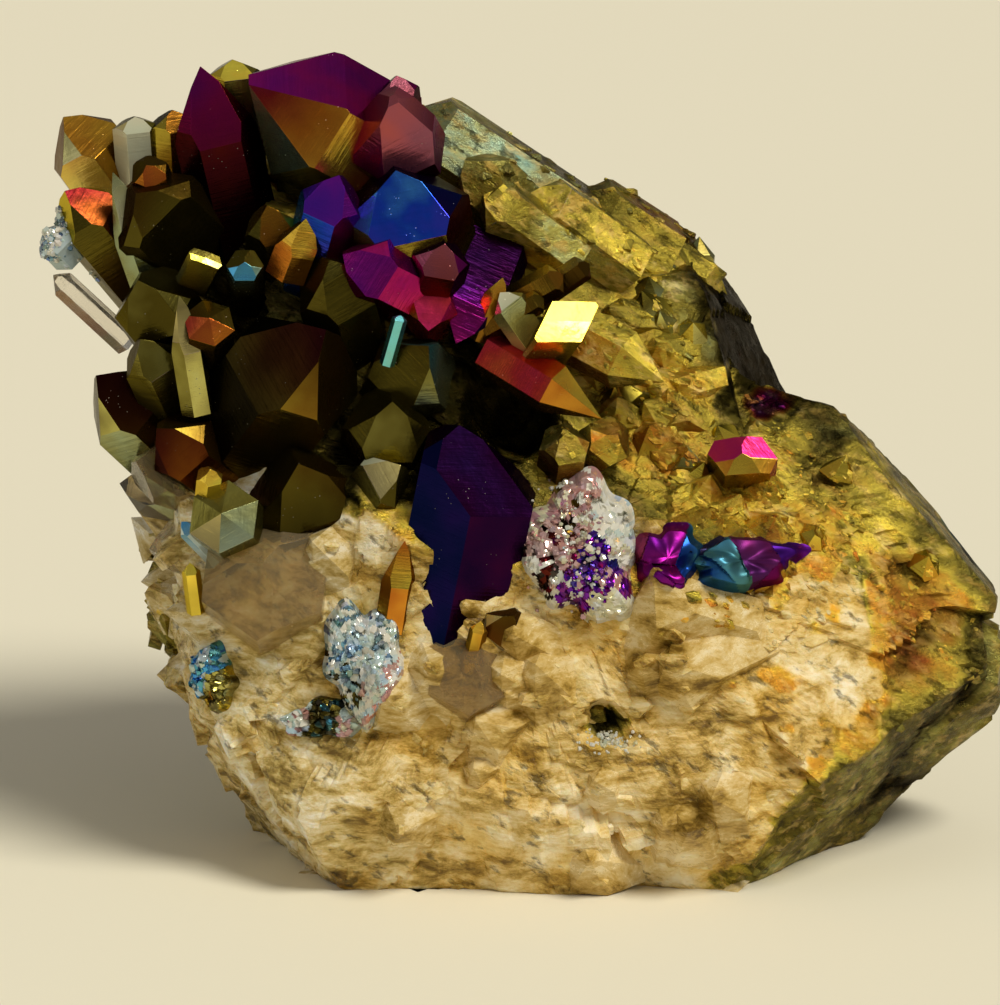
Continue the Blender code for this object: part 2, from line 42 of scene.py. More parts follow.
# The stone leans back on its flat base; places on its face are (right, up, out) in mm.
stone = {
    "mm": 0.001,
    "lean": 15.0,               # degrees
    "faceHeight": 24.4,         # of the face's own zero point over the base
    "middle": (2.06, 1.71),     # middle of the footprint, right of and behind that point
    "heart": (3.0, -2.0, -3.0),
    "node": "quartz_cluster",
    "slot": "coated_quartz",
}

# Order of the film's colour, how much darker than full, and how much film there is. The darkness is partly
# the film's own colour and partly painted: near-black smoke, black and pitch paint crystal faces as dark as
# the dark surroundings they mirror (painted reflection) and rock in shade (painted shade); the negative
# darkness of flash is a painted highlight.
tones = {
    "bare": (0.12, 0.00, 0.00),
    "cloud": (0.12, 0.00, 0.14),
    "pale": (0.90, -0.20, 0.40),
    "straw": (0.08, 0.05, 0.75),
    "gold": (0.11, 0.20, 1.00),
    "slope": (0.10, 0.38, 1.00),
    "band": (0.99, 0.50, 1.00),
    "foil": (0.74, 0.40, 0.80),
    "frost": (0.76, -0.10, 0.16),
    "dust": (0.37, 0.20, 0.55),
    "lagoon": (0.765, 0.40, 1.00),
    "marine": (0.68, 0.35, 1.00),
    "royal": (0.49, 0.45, 1.00),
    # flash: painted highlight, brighter than full film
    "flash": (0.11, -0.40, 1.00),
    "lemon": (0.12, 0.12, 1.00),
    "ochre": (0.08, 0.42, 1.00),
    "amber": (0.16, 0.30, 1.00),
    "bronze": (0.19, 0.70, 1.00),
    "orange": (0.22, 0.15, 1.00),
    "rust": (0.27, 0.20, 1.00),
    "crimson": (0.33, 0.15, 1.00),
    "maroon": (0.32, 0.78, 1.00),
    "rose": (0.37, -0.20, 1.00),
    "magenta": (0.42, 0.15, 1.00),
    "plum": (0.42, 0.50, 1.00),
    "purple": (0.48, 0.25, 1.00),
    "violet": (0.53, 0.05, 1.00),
    "indigo": (0.60, 0.62, 1.00),
    "cobalt": (0.65, 0.00, 1.00),
    "night": (0.72, 0.93, 1.00),
    "azure": (0.73, -0.10, 1.00),
    "teal": (0.79, 0.20, 1.00),
    "deepTeal": (0.81, 0.80, 1.00),
    "sage": (0.89, 0.25, 1.00),
    "lime": (0.95, 0.00, 0.95),
    "olive": (0.98, 0.35, 1.00),
    "moss": (0.00, 0.72, 1.00),
    "smoke": (0.14, 0.91, 1.00),
    "black": (0.25, 0.96, 1.00),
    "pitch": (0.05, 0.98, 1.00),
    "ember": (0.32, 0.965, 1.00),
    "mauve": (0.37, 0.40, 0.90),
    "garnet": (0.33, 0.60, 1.00),
    "mint": (0.80, -0.50, 1.00),
    "abyss": (0.62, 0.90, 1.00),
    "wine": (0.49, 0.92, 1.00),
    "silver": (0.76, -0.30, 0.40),
}

# Broken faces of the rock: point on the face, outward way, tone, roughness of the break.
backMass = (
    ((-4.6, 30.4, -8.0), (0.40, 0.85, 0.34), "lime", 0.8),
    ((11.8, 24.0, -14.0), (0.20, 0.90, 0.38), "ochre", 0.9),
    ((15.2, 21.2, -13.0), (0.80, 0.56, 0.20), "bronze", 0.4),
    # the two faces turned right, pitch and night, are near-black as painted shade of the side away from the
    # light
    ((20.2, 13.5, -11.0), (0.89, 0.37, 0.27), "pitch", 0.15),
    ((21.8, 6.0, -11.0), (0.98, 0.05, -0.18), "night", 0.4),
    ((20.0, -6.0, -10.0), (0.70, -0.70, -0.14), "moss", 0.6),
    ((4.5, 13.0, 7.0), (0.24, 0.46, 0.85), "slope", 0.5),
    ((-8.0, 12.0, 10.8), (0.02, 0.30, 0.95), "moss", 0.8),
    ((-20.0, 8.0, 9.0), (-0.36, 0.12, 0.92), "moss", 0.8),
    ((-6.0, -6.0, 13.6), (-0.10, -0.12, 0.99), "cloud", 0.9),
    ((-10.0, 30.2, -5.0), (-0.06, 0.98, 0.14), "olive", 0.8),
    ((-21.5, 26.6, 1.0), (-0.44, 0.80, 0.41), "olive", 0.8),
    ((-27.0, 18.0, -3.0), (-0.98, -0.06, 0.18), "olive", 0.8),
    ((-24.0, 3.0, 5.0), (-0.86, -0.34, 0.38), "cloud", 0.7),
    ((8.0, 24.0, -17.0), (0.16, 0.74, -0.66), "olive", 0.9),
    ((-12.0, 28.6, -9.0), (-0.20, 0.72, -0.66), "gold", 0.9),
    ((2.0, 10.0, -22.5), (0.06, 0.12, -0.99), "ochre", 1.0),
    ((-17.0, 12.0, -16.0), (-0.60, 0.10, -0.80), "purple", 0.9),
    ((-12.0, -12.0, -16.0), (-0.52, -0.50, -0.70), "pale", 0.9),
)
frontMass = (
    ((6.0, -14.0, 16.8), (0.0, -0.08, 0.99), "cloud", 0.8),
    ((-14.0, -10.0, 14.6), (-0.40, 0.04, 0.92), "cloud", 0.8),
    ((4.0, -23.0, 15.4), (0.02, -0.52, 0.85), "bare", 0.8),
    ((20.0, 1.6, 9.5), (0.14, 0.60, 0.79), "slope", 0.6),
    ((28.0, -5.0, 10.0), (0.40, 0.20, 0.89), "amber", 0.7),
    ((31.9, 0.5, 0.2), (0.74, 0.64, 0.20), "band", 0.25),
    ((37.4, -9.0, 0.0), (0.99, -0.02, 0.10), "olive", 0.5),
    ((30.2, -17.0, 9.6), (0.63, -0.68, 0.37), "olive", 0.35),
    ((28.0, -24.0, -2.0), (0.66, -0.74, -0.10), "moss", 0.5),
    ((23.0, 7.6, -2.0), (0.16, 0.90, -0.40), "olive", 0.8),
    ((30.0, -8.0, -12.0), (0.62, 0.10, -0.78), "bronze", 0.9),
    ((6.0, -12.0, -20.5), (0.08, -0.16, -0.98), "ochre", 1.0),
    ((-16.0, -16.0, -10.0), (-0.72, -0.30, -0.62), "pale", 0.9),
    ((-23.0, -12.0, 6.0), (-0.97, -0.10, 0.20), "cloud", 0.7),
    ((-20.4, -19.0, 6.0), (-0.80, -0.56, 0.20), "bare", 0.7),
)

# Corners knocked off both masses behind.
spalls = {
    "count": 26, "depth": (0.8, 3.4), "behind": 0.5, "probes": 4000, "seed": 5, "tone": "olive", "break": 0.9,
}

# Pits in the rock: middle, radius and depth.
dents = (
    ((0.6, 6.2, 12.0), 3.6, 4.0),
    ((7.6, -16.2, 16.0), 1.9, 1.8),
)
cleanBreak = 0.3          # faces that broke more smoothly than this are clean ones
cleanLead = 1.8           # mm that a clean face's tone and smoothness run on over its edge
cleanRelief = {"least": 0.2, "gain": 0.8, "margin": 0.3}    # how the relief grows back beside them
rockMiddleOrder = 0.05    # film orders on the rock are written as their turn nearest this one
# Where faces meet their tones run into each other: noise as (height, size, seed).
toneEdge = {"wander": 0.02, "size": 5.0, "seed": 31, "blur": 0.45, "most": 60.0}
patchEdge = {"outer": 1.2, "blur": 0.4, "noise": ((0.28, 4.0, 61), (0.16, 1.4, 62))}
softWaves = {"count": 9, "pace": (0.6, 1.6), "calm": 4.5}
leastSlope = 1e-6
beyondAll = 1e3           # mm, further than any face


def unit(vectors):
    # each vector divided by its own length
    vectors = np.asarray(vectors, dtype=float)
    return vectors / np.linalg.norm(vectors, axis=-1, keepdims=True)


def toWorld(points):
    # (right, up, out) turned back by the lean about the right-hand axis, then mm to m
    points = np.asarray(points, dtype=float)
    lean = math.radians(stone["lean"])
    right, up, out = points[..., 0], points[..., 1], points[..., 2]
    behind = up * math.sin(lean) - out * math.cos(lean)
    height = up * math.cos(lean) + out * math.sin(lean) + stone["faceHeight"]
    place = (right - stone["middle"][0], behind - stone["middle"][1], height)
    return np.stack(place, axis=-1) * stone["mm"]


def onBase(world):
    # what would reach under the base ends on it
    world[:, 2] = np.maximum(world[:, 2], 0.0)
    return world


def massDistances(mass, ways):
    # how far along each way from the heart each broken face of a mass is met
    normals = unit([face[1] for face in mass])
    offsets = ((np.array([face[0] for face in mass]) - stone["heart"]) * normals).sum(axis=1)
    slope = ways @ normals.T
    return np.where(slope > leastSlope, offsets / np.maximum(slope, leastSlope), beyondAll)


def massReach(mass, ways):
    # a convex mass ends at the nearest of its faces ahead
    distance = massDistances(mass, ways)
    return distance.min(axis=1), distance.argmin(axis=1)


def spalled(mass):
    # each cut takes the outermost bit of the mass one way, by a small depth
    chance = np.random.RandomState(spalls["seed"])
    probes = unit(chance.normal(size=(spalls["probes"], 3)))
    faces = list(mass)
    for _ in range(spalls["count"]):
        right, up, out = chance.normal(size=3)
        way = unit((right, up, -abs(out) - spalls["behind"]))
        depth = chance.uniform(*spalls["depth"])
        reach, _ = massReach(faces, probes)
        outermost = (probes * reach[:, None] @ way).max()
        point = np.asarray(stone["heart"]) + way * (outermost - depth)
        faces.append((point, way, spalls["tone"], spalls["break"]))
    return faces


def nearOrder(order, centre):
    # the film's colours come round again, so an order is written as its turn nearest the centre
    return order - np.round(order - centre)


def rockTones(mass):
    table = np.array([tones[face[2]] for face in mass])
    table[:, 0] = nearOrder(table[:, 0], rockMiddleOrder)
    return table


masses = (spalled(backMass), spalled(frontMass))
massTones = [rockTones(mass) for mass in masses]
faceNormals = np.concatenate([unit([face[1] for face in mass]) for mass in masses])
faceBreaks = np.array([face[3] for mass in masses for face in mass])


def rockReach(ways):
    # the rock goes as far as the further of its two masses; also which face is met
    reach = np.zeros(len(ways))
    met = np.zeros(len(ways), dtype=int)
    first = 0
    for mass in masses:
        ends, index = massReach(mass, ways)
        further = ends > reach
        reach[further] = ends[further]
        met[further] = index[further] + first
        first += len(mass)
    return reach, met


def cleanGap(ways):
    # how far behind the surface, along each way, the nearest face that broke clean lies
    gap = np.full(len(ways), beyondAll)
    reach, _ = rockReach(ways)
    for mass in masses:
        clean = np.array([face[3] < cleanBreak for face in mass])
        ends = massDistances(mass, ways)
        outer = ends.min(axis=1) > reach - 0.01
        gap = np.where(outer, np.minimum(gap, ends[:, clean].min(axis=1) - reach), gap)
    return gap


def nearPit(points, radii):
    # true where something of that radius would close one of the pits
    near = np.zeros(len(points), dtype=bool)
    for middle, reach, _ in dents:
        near |= np.linalg.norm(points - np.asarray(middle), axis=1) < radii + 0.6 * reach
    return near


def softNoise(points, size, seed):
    # sum of a few slow waves in random directions, each sin(k.p + phase), scaled to about -1..1
    chance = np.random.RandomState(seed)
    count = softWaves["count"]
    ways = unit(chance.normal(size=(count, 3)))
    waves = ways * chance.uniform(*softWaves["pace"], (count, 1)) * 2 * math.pi / size
    phases = chance.uniform(0, 2 * math.pi, count)
    return np.sin(points @ waves.T + phases).sum(axis=1) / softWaves["calm"]


def noiseSum(points, noises, start=0.0):
    # several sizes of soft noise added to a start; each noise is (height, size, seed)
    return sum((height * softNoise(points, size, seed) for height, size, seed in noises), start)


def facetRelief(points, spacing, step, tilt, roundness, flatness, seed):
    # highest of many tilted flat faces: own height + tilt.(p - seed) - roundness |p - seed|^2,
    # then flatness gives back that share of the fall, so each face is nearly flat
    chance = np.random.RandomState(seed)
    area = 4 * math.pi * rockGrid["meanReach"] ** 2
    count = int(area / spacing ** 2)
    ways = unit(chance.normal(size=(count, 3)))
    reach, _ = rockReach(ways)
    seeds = ways * reach[:, None]
    heights = chance.uniform(-step, step, count)
    tilts = unit(chance.normal(size=(count, 3))) * chance.uniform(0, tilt, (count, 1))
    gradient = tilts + 2 * roundness * seeds
    constant = heights - (tilts * seeds).sum(axis=1) - roundness * (seeds ** 2).sum(axis=1)
    relief = np.empty(len(points))
    owner = np.empty(len(points), dtype=int)
    batch = rockGrid["batch"]
    for start in range(0, len(points), batch):
        part = points[start:start + batch]
        level = part @ gradient.T + constant
        best = level.argmax(axis=1)
        top = level[np.arange(len(part)), best] - roundness * (part ** 2).sum(axis=1)
        away = ((part - seeds[best]) ** 2).sum(axis=1)
        relief[start:start + batch] = top + flatness * roundness * away
        owner[start:start + batch] = best
    return relief, owner


# Places where the coating differs from its broken face, and where shade is painted: middle, reach each way,
# tone, share.
patches = (
    ((1.5, 26.8, 3.0), (7.0, 5.0, 8.0), "sage", 0.75),
    ((-1.0, 30.0, 0.0), (4.0, 3.0, 8.0), "pale", 0.7),
    ((1.5, 20.6, 8.0), (4.0, 2.2, 6.0), "gold", 0.9),
    ((10.5, 14.0, 7.0), (6.5, 6.5, 9.0), "ochre", 0.6),
    ((8.0, 18.0, 6.0), (5.0, 2.5, 6.0), "straw", 0.6),
    ((13.4, 16.0, 4.0), (1.6, 3.0, 5.0), "sage", 0.5),
    ((14.8, 11.4, 5.0), (1.6, 3.0, 5.0), "sage", 0.5),
    # the pitch patches from here to (18.6, 11.6) are painted shade on the right side, turned from the light
    ((14.7, 16.6, 2.0), (1.0, 3.2, 6.0), "pitch", 0.6),
    ((16.8, 10.6, 3.0), (1.0, 3.4, 6.0), "pitch", 0.6),
    ((15.0, 21.0, -3.0), (3.6, 2.0, 6.0), "smoke", 0.9),
    ((16.4, 16.6, 0.0), (1.5, 2.8, 8.0), "pitch", 1.0),
    ((18.6, 11.6, 0.0), (1.7, 4.0, 8.0), "pitch", 1.0),
    ((10.0, 21.8, -2.0), (5.0, 1.6, 7.0), "olive", 0.6),
    ((12.5, 9.3, 9.0), (6.0, 2.4, 6.0), "gold", 0.9),
    ((12.0, 3.8, 12.0), (5.0, 2.0, 4.0), "amber", 0.7),
    ((19.0, -0.6, 12.0), (7.0, 2.6, 5.0), "amber", 0.5),
    # painted shade in the larger pit
    ((0.6, 6.2, 11.0), (3.8, 3.4, 6.0), "pitch", 1.0),
    ((6.0, -0.5, 13.0), (5.0, 3.0, 5.0), "olive", 0.6),
    ((31.0, -8.8, 7.0), (3.2, 5.5, 6.0), "amber", 0.9),
    ((30.6, -12.0, 7.0), (1.6, 1.2, 3.0), "rust", 0.9),
    ((27.0, 0.6, 8.0), (4.5, 4.0, 6.0), "gold", 0.8),
    ((25.8, -8.6, 9.0), (1.6, 4.6, 4.0), "pale", 0.9),
    ((20.0, -9.8, 11.0), (6.5, 4.6, 5.0), "bare", 1.0),
    ((24.0, -13.0, 10.0), (4.0, 4.4, 6.0), "bare", 1.0),
    ((19.0, -17.0, 12.0), (4.6, 4.6, 8.0), "bare", 1.0),
    ((23.2, -9.2, 10.0), (1.6, 1.6, 3.0), "straw", 0.6),
    ((34.6, -3.7, 0.0), (2.2, 4.4, 3.0), "night", 0.8),
    ((19.8, 7.4, 2.0), (1.8, 1.2, 5.0), "wine", 0.9),
    # painted shade in the smaller pit, then in the gaps between the crystals
    ((7.6, -16.2, 14.6), (1.6, 1.4, 3.0), "pitch", 1.0),
    ((-9.0, 4.0, 14.0), (6.0, 4.6, 5.0), "pitch", 1.0),
    ((-3.0, 8.0, 12.0), (4.0, 5.0, 5.0), "pitch", 1.0),
)


def patched(points, tone):
    # each patch mixes its tone in where the distance, counted in its reaches, is under about one
    wobble = noiseSum(points, patchEdge["noise"])
    for middle, reach, name, share in patches:
        away = np.sqrt((((points - middle) / reach) ** 2).sum(axis=1)) + wobble
        amount = share * np.clip((patchEdge["outer"] - away) / patchEdge["blur"], 0, 1)[:, None]
        own = np.array(tones[name])
        own[0] = nearOrder(own[0], rockMiddleOrder)
        tone = tone * (1 - amount) + own * amount
    return tone


def rockTone(points):
    # tones of the broken faces met, each counted by how soon after the first it is met
    ways = unit(points - np.asarray(stone["heart"]))
    wander = [softNoise(points, toneEdge["size"], toneEdge["seed"] + axis) for axis in range(3)]
    ways = unit(ways + toneEdge["wander"] * np.stack(wander, axis=1))
    blur, most = toneEdge["blur"], toneEdge["most"]
    mixed, reaches = [], []
    for mass, table in zip(masses, massTones):
        distance = massDistances(mass, ways)
        reach = distance.min(axis=1)
        distance = distance - cleanLead * np.array([face[3] < cleanBreak for face in mass])
        share = np.exp(-np.minimum((distance - distance.min(axis=1)[:, None]) / blur, most))
        mixed.append(share @ table / share.sum(axis=1)[:, None])
        reaches.append(reach)
    share = 1 / (1 + np.exp(np.clip((reaches[1] - reaches[0]) / blur, -most, most)))[:, None]
    return patched(points, share * mixed[0] + (1 - share) * mixed[1])


def setAttribute(mesh, name, values, domain):
    # one number for each point or corner
    layer = mesh.attributes.new(name, "FLOAT", domain)
    layer.data.foreach_set("value", np.ascontiguousarray(values, dtype=np.float32).ravel())


def setFaces(mesh, values, lie):
    # the film's order, darkness and amount, and the place on its face, of each corner
    for column, label in enumerate(("film", "depth", "coat")):
        setAttribute(mesh, label, values[:, column], "CORNER")
    layer = mesh.uv_layers.new(name="lie")
    layer.data.foreach_set("uv", np.ascontiguousarray(lie, dtype=np.float32).ravel())


def inRange(values):
    # order, darkness and amount held to what the finishes can show
    return np.clip(values, (-1.0, -0.4, 0.0), 1.0)


def linkMesh(name, mesh, material):
    mesh.materials.append(material)
    thing = bpy.data.objects.new(name, mesh)
    bpy.context.scene.collection.objects.link(thing)
    return thing


def closedGrid(rings, around):
    # faces between rings of points, closed by a fan to a first point and one to a last
    index = 1 + np.arange(around * rings).reshape(rings, around)
    onward = np.roll(index, -1, axis=1)
    quads = np.stack((index[:-1], index[1:], onward[1:], onward[:-1]), axis=-1).reshape(-1, 4)
    last = around * rings + 1
    first = np.stack((np.zeros(around, int), index[0], onward[0]), axis=-1)
    behind = np.stack((np.full(around, last), onward[-1], index[-1]), axis=-1)
    return quads.tolist() + first.tolist() + behind.tolist()


# Interference colours of the film, by order.
filmColours = (
    (0.00, (0.22, 0.17, 0.02)),
    (0.05, (0.42, 0.33, 0.04)),
    (0.10, (0.82, 0.62, 0.07)),
    (0.16, (0.80, 0.42, 0.04)),
    (0.23, (0.66, 0.20, 0.02)),
    (0.32, (0.46, 0.03, 0.03)),
    (0.40, (0.44, 0.01, 0.14)),
    (0.48, (0.24, 0.01, 0.32)),
    (0.55, (0.10, 0.02, 0.46)),
    (0.65, (0.01, 0.05, 0.48)),
    (0.73, (0.08, 0.38, 0.70)),
    (0.80, (0.14, 0.44, 0.44)),
    (0.87, (0.38, 0.48, 0.30)),
    (0.94, (0.46, 0.42, 0.10)),
    (1.00, (0.22, 0.17, 0.02)),
)

# Cloudy quartz, from the dark between veils to the brightest veil.
veilColours = (
    (0.33, (0.16, 0.10, 0.02)),
    (0.41, (0.42, 0.30, 0.08)),
    (0.47, (0.64, 0.49, 0.19)),
    (0.52, (0.76, 0.64, 0.36)),
    (0.58, (0.86, 0.78, 0.56)),
    (0.65, (0.96, 0.94, 0.86)),
)


def connect(tree, node, inputs):
    # each input, by name with _ for a space or by number as i0, i1, is linked or set
    for label, value in inputs.items():
        number = int(label[1:]) if label[0] == "i" and label[1:].isdigit() else label.replace("_", " ")
        socket = node.inputs[number]
        if isinstance(value, bpy.types.NodeSocket):
            tree.links.new(value, socket)
        else:
            socket.default_value = value


def addNode(tree, kind, settings=None, **inputs):
    # a node in the next free cell of a grid six high
    node = tree.nodes.new("ShaderNode" + kind)
    column, row = divmod(len(tree.nodes), 6)
    node.location = (column * 220 - 1800, 600 - row * 260)
    for key, value in (settings or {}).items():
        setattr(node, key, value)
    connect(tree, node, inputs)
    return node


def maths(tree, kind, first, second=0.0):
    return addNode(tree, "Math", {"operation": kind}, i0=first, i1=second).outputs[0]


def scaled(tree, vector, factor):
    return addNode(tree, "VectorMath", {"operation": "SCALE"}, i0=vector, Scale=factor).outputs[0]


def noise(tree, vector, scale, detail=2.0, roughness=0.5):
    return addNode(tree, "TexNoise", Vector=vector, Scale=scale, Detail=detail, Roughness=roughness).outputs


def spanned(tree, value, low, high, first, last):
    # low..high carried over to first..last, and held at both ends
    return addNode(tree, "MapRange", Value=value, i1=low, i2=high, i3=first, i4=last).outputs[0]


def mixColour(tree, share, first, second):
    return addNode(tree, "Mix", {"data_type": "RGBA"}, i0=share, i6=first, i7=second).outputs[2]


def colourRun(tree, value, colours):
    # a ramp through the colours, each at its place
    ramp = addNode(tree, "ValToRGB", Fac=value)
    stops = ramp.color_ramp.elements
    while len(stops) < len(colours):
        stops.new(0.5)
    for stop, (place, colour) in zip(stops, colours):
        stop.position = place
        stop.color = (*colour, 1.0)
    return ramp.outputs["Color"]


def bumped(tree, height, strength, distance):
    return addNode(tree, "Bump", Height=height, Strength=strength, Distance=distance).outputs[0]


def newGroup(name, inputs, outputs):
    # a shader node group with named sockets; each input is (name, kind, value)
    group = bpy.data.node_groups.new(name, "ShaderNodeTree")
    for label, kind, value in inputs:
        socket = group.interface.new_socket(label, in_out="INPUT", socket_type="NodeSocket" + kind)
        if value is not None:
            socket.default_value = value
    for label, kind in outputs:
        group.interface.new_socket(label, in_out="OUTPUT", socket_type="NodeSocket" + kind)
    return group, group.nodes.new("NodeGroupInput").outputs, group.nodes.new("NodeGroupOutput")


def useGroup(tree, group, **inputs):
    node = addNode(tree, "Group", {"node_tree": group})
    connect(tree, node, inputs)
    return node.outputs


# The film's least light, and how slow noise (from, to) carries over to light.
filmLight = {"least": 0.015, "clouds": (0.3, 0.7, 1.25, 0.65)}


def filmGroup():
    # interference film: the order picks a colour, slow noise shifts the order, depth darkens it, painted
    # shade and painted reflection included
    group, given, result = newGroup(
        "rainbow film",
        (
            ("Order", "Float", 0.2), ("Depth", "Float", 0.0), ("Position", "Vector", None),
            ("Drift", "Float", 0.06), ("Drift Size", "Float", 260.0),
        ),
        (("Colour", "Color"), ("Bloom", "Float")),
    )
    slow = noise(group, given["Position"], given["Drift Size"], 3.0)["Fac"]
    shift = maths(group, "MULTIPLY", maths(group, "SUBTRACT", slow, 0.5), given["Drift"])
    order = maths(group, "FRACT", maths(group, "ADD", given["Order"], shift))
    light = maths(group, "MAXIMUM", maths(group, "SUBTRACT", 1.0, given["Depth"]), filmLight["least"])
    light = maths(group, "MULTIPLY", light, spanned(group, slow, *filmLight["clouds"]))
    colour = scaled(group, colourRun(group, order, filmColours), light)
    connect(group, result, {"Colour": colour, "Bloom": slow})
    return group


# How the lines are drawn out, finenesses of swell and pits, and where holes start and end.
growthShape = {
    "stretch": (0.16, 3.2, 1.0), "swell": 700.0, "pits": 2400.0, "hole": (0.04, 0.12),
    "chosenSize": 420.0, "chosen": (0.56, 0.64),
}


def grainGroup():
    # growth lines across a crystal face and small pits, as a height
    group, given, result = newGroup(
        "growth lines",
        (
            ("Lie", "Vector", None), ("Position", "Vector", None), ("Lines", "Float", 0.5),
            ("Pits", "Float", 0.5),
        ),
        (("Height", "Float"), ("Specks", "Float")),
    )
    stretch = addNode(group, "Mapping", Vector=given["Lie"], Scale=growthShape["stretch"]).outputs[0]
    lines = maths(group, "MULTIPLY", noise(group, stretch, 1.0, 4.0, 0.65)["Fac"], given["Lines"])
    swell = noise(group, given["Position"], growthShape["swell"], 3.0)["Fac"]
    pits = addNode(group, "TexVoronoi", Vector=given["Position"], Scale=growthShape["pits"])
    hole = spanned(group, pits.outputs["Distance"], *growthShape["hole"], 1.0, 0.0)
    chosen = noise(group, given["Position"], growthShape["chosenSize"])["Fac"]
    chosen = spanned(group, chosen, *growthShape["chosen"], 0.0, 1.0)
    specks = maths(group, "MULTIPLY", maths(group, "MULTIPLY", hole, chosen), given["Pits"])
    height = maths(group, "SUBTRACT", maths(group, "ADD", lines, swell), specks)
    connect(group, result, {"Height": height, "Specks": specks})
    return group


# How the grain is drawn out and turned, its finer part, and where the small pits darkened as painted shade
# and the flecks start and end.
gritShape = {
    "drawn": (1.7, 1.2, 0.8), "turned": (0.0, 0.55, 0.0), "fine": 3000.0,
    "pore": (0.34, 0.43), "fleck": (0.50, 0.61),
}


def gritGroup():
    # crushed surface: noise drawn out down the slope gives a tint, pale flecks, small pits darkened as
    # painted shade, a height
    group, given, result = newGroup(
        "crushed grain",
        (("Position", "Vector", None), ("Grain Size", "Float", 900.0)),
        (("Tint", "Float"), ("Fleck", "Float"), ("Pore", "Float"), ("Height", "Float")),
    )
    drawn = addNode(
        group, "Mapping", {"vector_type": "TEXTURE"},
        Vector=given["Position"], Scale=gritShape["drawn"], Rotation=gritShape["turned"],
    ).outputs[0]
    grains = noise(group, drawn, given["Grain Size"], 6.0, 0.62)["Color"]
    parts = addNode(group, "SeparateColor", Color=grains).outputs
    pore = spanned(group, parts[2], *gritShape["pore"], 1.0, 0.0)
    height = maths(group, "ADD", parts[1], noise(group, drawn, gritShape["fine"], 5.0, 0.7)["Fac"])
    connect(group, result, {
        "Tint": maths(group, "SUBTRACT", parts[0], 0.5),
        "Fleck": spanned(group, parts[1], *gritShape["fleck"], 0.0, 1.0),
        "Pore": pore,
        "Height": maths(group, "SUBTRACT", height, pore),
    })
    return group


# Haze and veils, how far the haze bends the veils (m), how amber darkens them, and where
# amber comes in from left to right (m).
veilShape = {
    "haze": 130.0, "bend": 0.004, "drawn": (0.8, 1.0, 2.0), "veils": (330.0, 9.0, 0.72),
    "darker": 0.05, "broad": (0.3, 0.7, -0.07, 0.07), "inward": (-0.017, -0.005, 0.0, 0.55),
    "amber": (1.0, 0.81, 0.42, 1),
}


def veilGroup():
    # cloudy quartz: warped noise drawn out sideways picks a colour; inward it turns to amber
    group, given, result = newGroup(
        "cloudy veils",
        (("Position", "Vector", None), ("Amber", "Float", 0.0)),
        (("Colour", "Color"), ("Cloud", "Float")),
    )
    haze = noise(group, given["Position"], veilShape["haze"])
    bend = scaled(group, haze["Color"], veilShape["bend"])
    warped = addNode(group, "VectorMath", {"operation": "ADD"}, i0=given["Position"], i1=bend).outputs[0]
    drawn = addNode(group, "Mapping", Vector=warped, Scale=veilShape["drawn"]).outputs[0]
    veils = noise(group, drawn, *veilShape["veils"])["Fac"]
    level = maths(group, "SUBTRACT", veils, maths(group, "MULTIPLY", given["Amber"], veilShape["darker"]))
    level = maths(group, "ADD", level, spanned(group, haze["Fac"], *veilShape["broad"]))
    right = addNode(group, "SeparateXYZ", Vector=given["Position"]).outputs[0]
    amount = maths(group, "ADD", spanned(group, right, *veilShape["inward"]), given["Amber"])
    amber = mixColour(group, amount, (1.0, 1.0, 1.0, 1), veilShape["amber"])
    colour = colourRun(group, level, veilColours)
    tinted = addNode(group, "VectorMath", {"operation": "MULTIPLY"}, i0=colour, i1=amber).outputs[0]
    connect(group, result, {"Colour": tinted, "Cloud": veils})
    return group


rainbowFilm = filmGroup()
growthLines = grainGroup()
crushedGrain = gritGroup()
cloudyVeils = veilGroup()


# The tint keeps grazing reflections from turning white.
quartzGloss = {"IOR": 1.54, "Specular Tint": (0.40, 0.38, 0.36, 1)}


def startMaterial(name):
    material = bpy.data.materials.new(name)
    material.use_nodes = True
    shader = material.node_tree.nodes["Principled BSDF"]
    connect(material.node_tree, shader, quartzGloss)
    return material, material.node_tree, shader


def objectPlace(tree):
    return addNode(tree, "TexCoord").outputs["Object"]


def faceLie(tree):
    return addNode(tree, "UVMap", {"uv_map": "lie"}).outputs["UV"]


def carried(tree, *names):
    # numbers that a mesh carries
    return [addNode(tree, "Attribute", {"attribute_name": name}).outputs["Fac"] for name in names]


def filmLook(tree, order, depth, position, look):
    return useGroup(
        tree, rainbowFilm, Order=order, Depth=depth, Position=position,
        Drift=look["drift"], Drift_Size=look["driftSize"],
    )


def coatedCrystal(name, look):
    # metal film over a crystal face: full film is a mirror, thin film lets cloudy quartz show
    material, tree, shader = startMaterial(name)
    position = objectPlace(tree)
    film, depth, coat = carried(tree, "film", "depth", "coat")
    colour = filmLook(tree, film, depth, position, look)
    relief = useGroup(
        tree, growthLines, Lie=faceLie(tree), Position=position, Lines=look["lines"], Pits=look["pits"]
    )
    quartz = mixColour(tree, colour["Bloom"], look["quartzDark"], look["quartzPale"])
    base = mixColour(tree, coat, quartz, colour["Colour"])
    gloss = spanned(tree, colour["Bloom"], *look["clouds"], look["smooth"], look["rough"])
    connect(tree, shader, {
        "Base Color": mixColour(tree, relief["Specks"], base, look["specks"]),
        "Metallic": maths(tree, "MULTIPLY", coat, look["metal"]),
        "Roughness": maths(tree, "ADD", gloss, relief["Specks"]),
        "Normal": bumped(tree, relief["Height"], look["bump"], look["relief"]),
    })
    return material


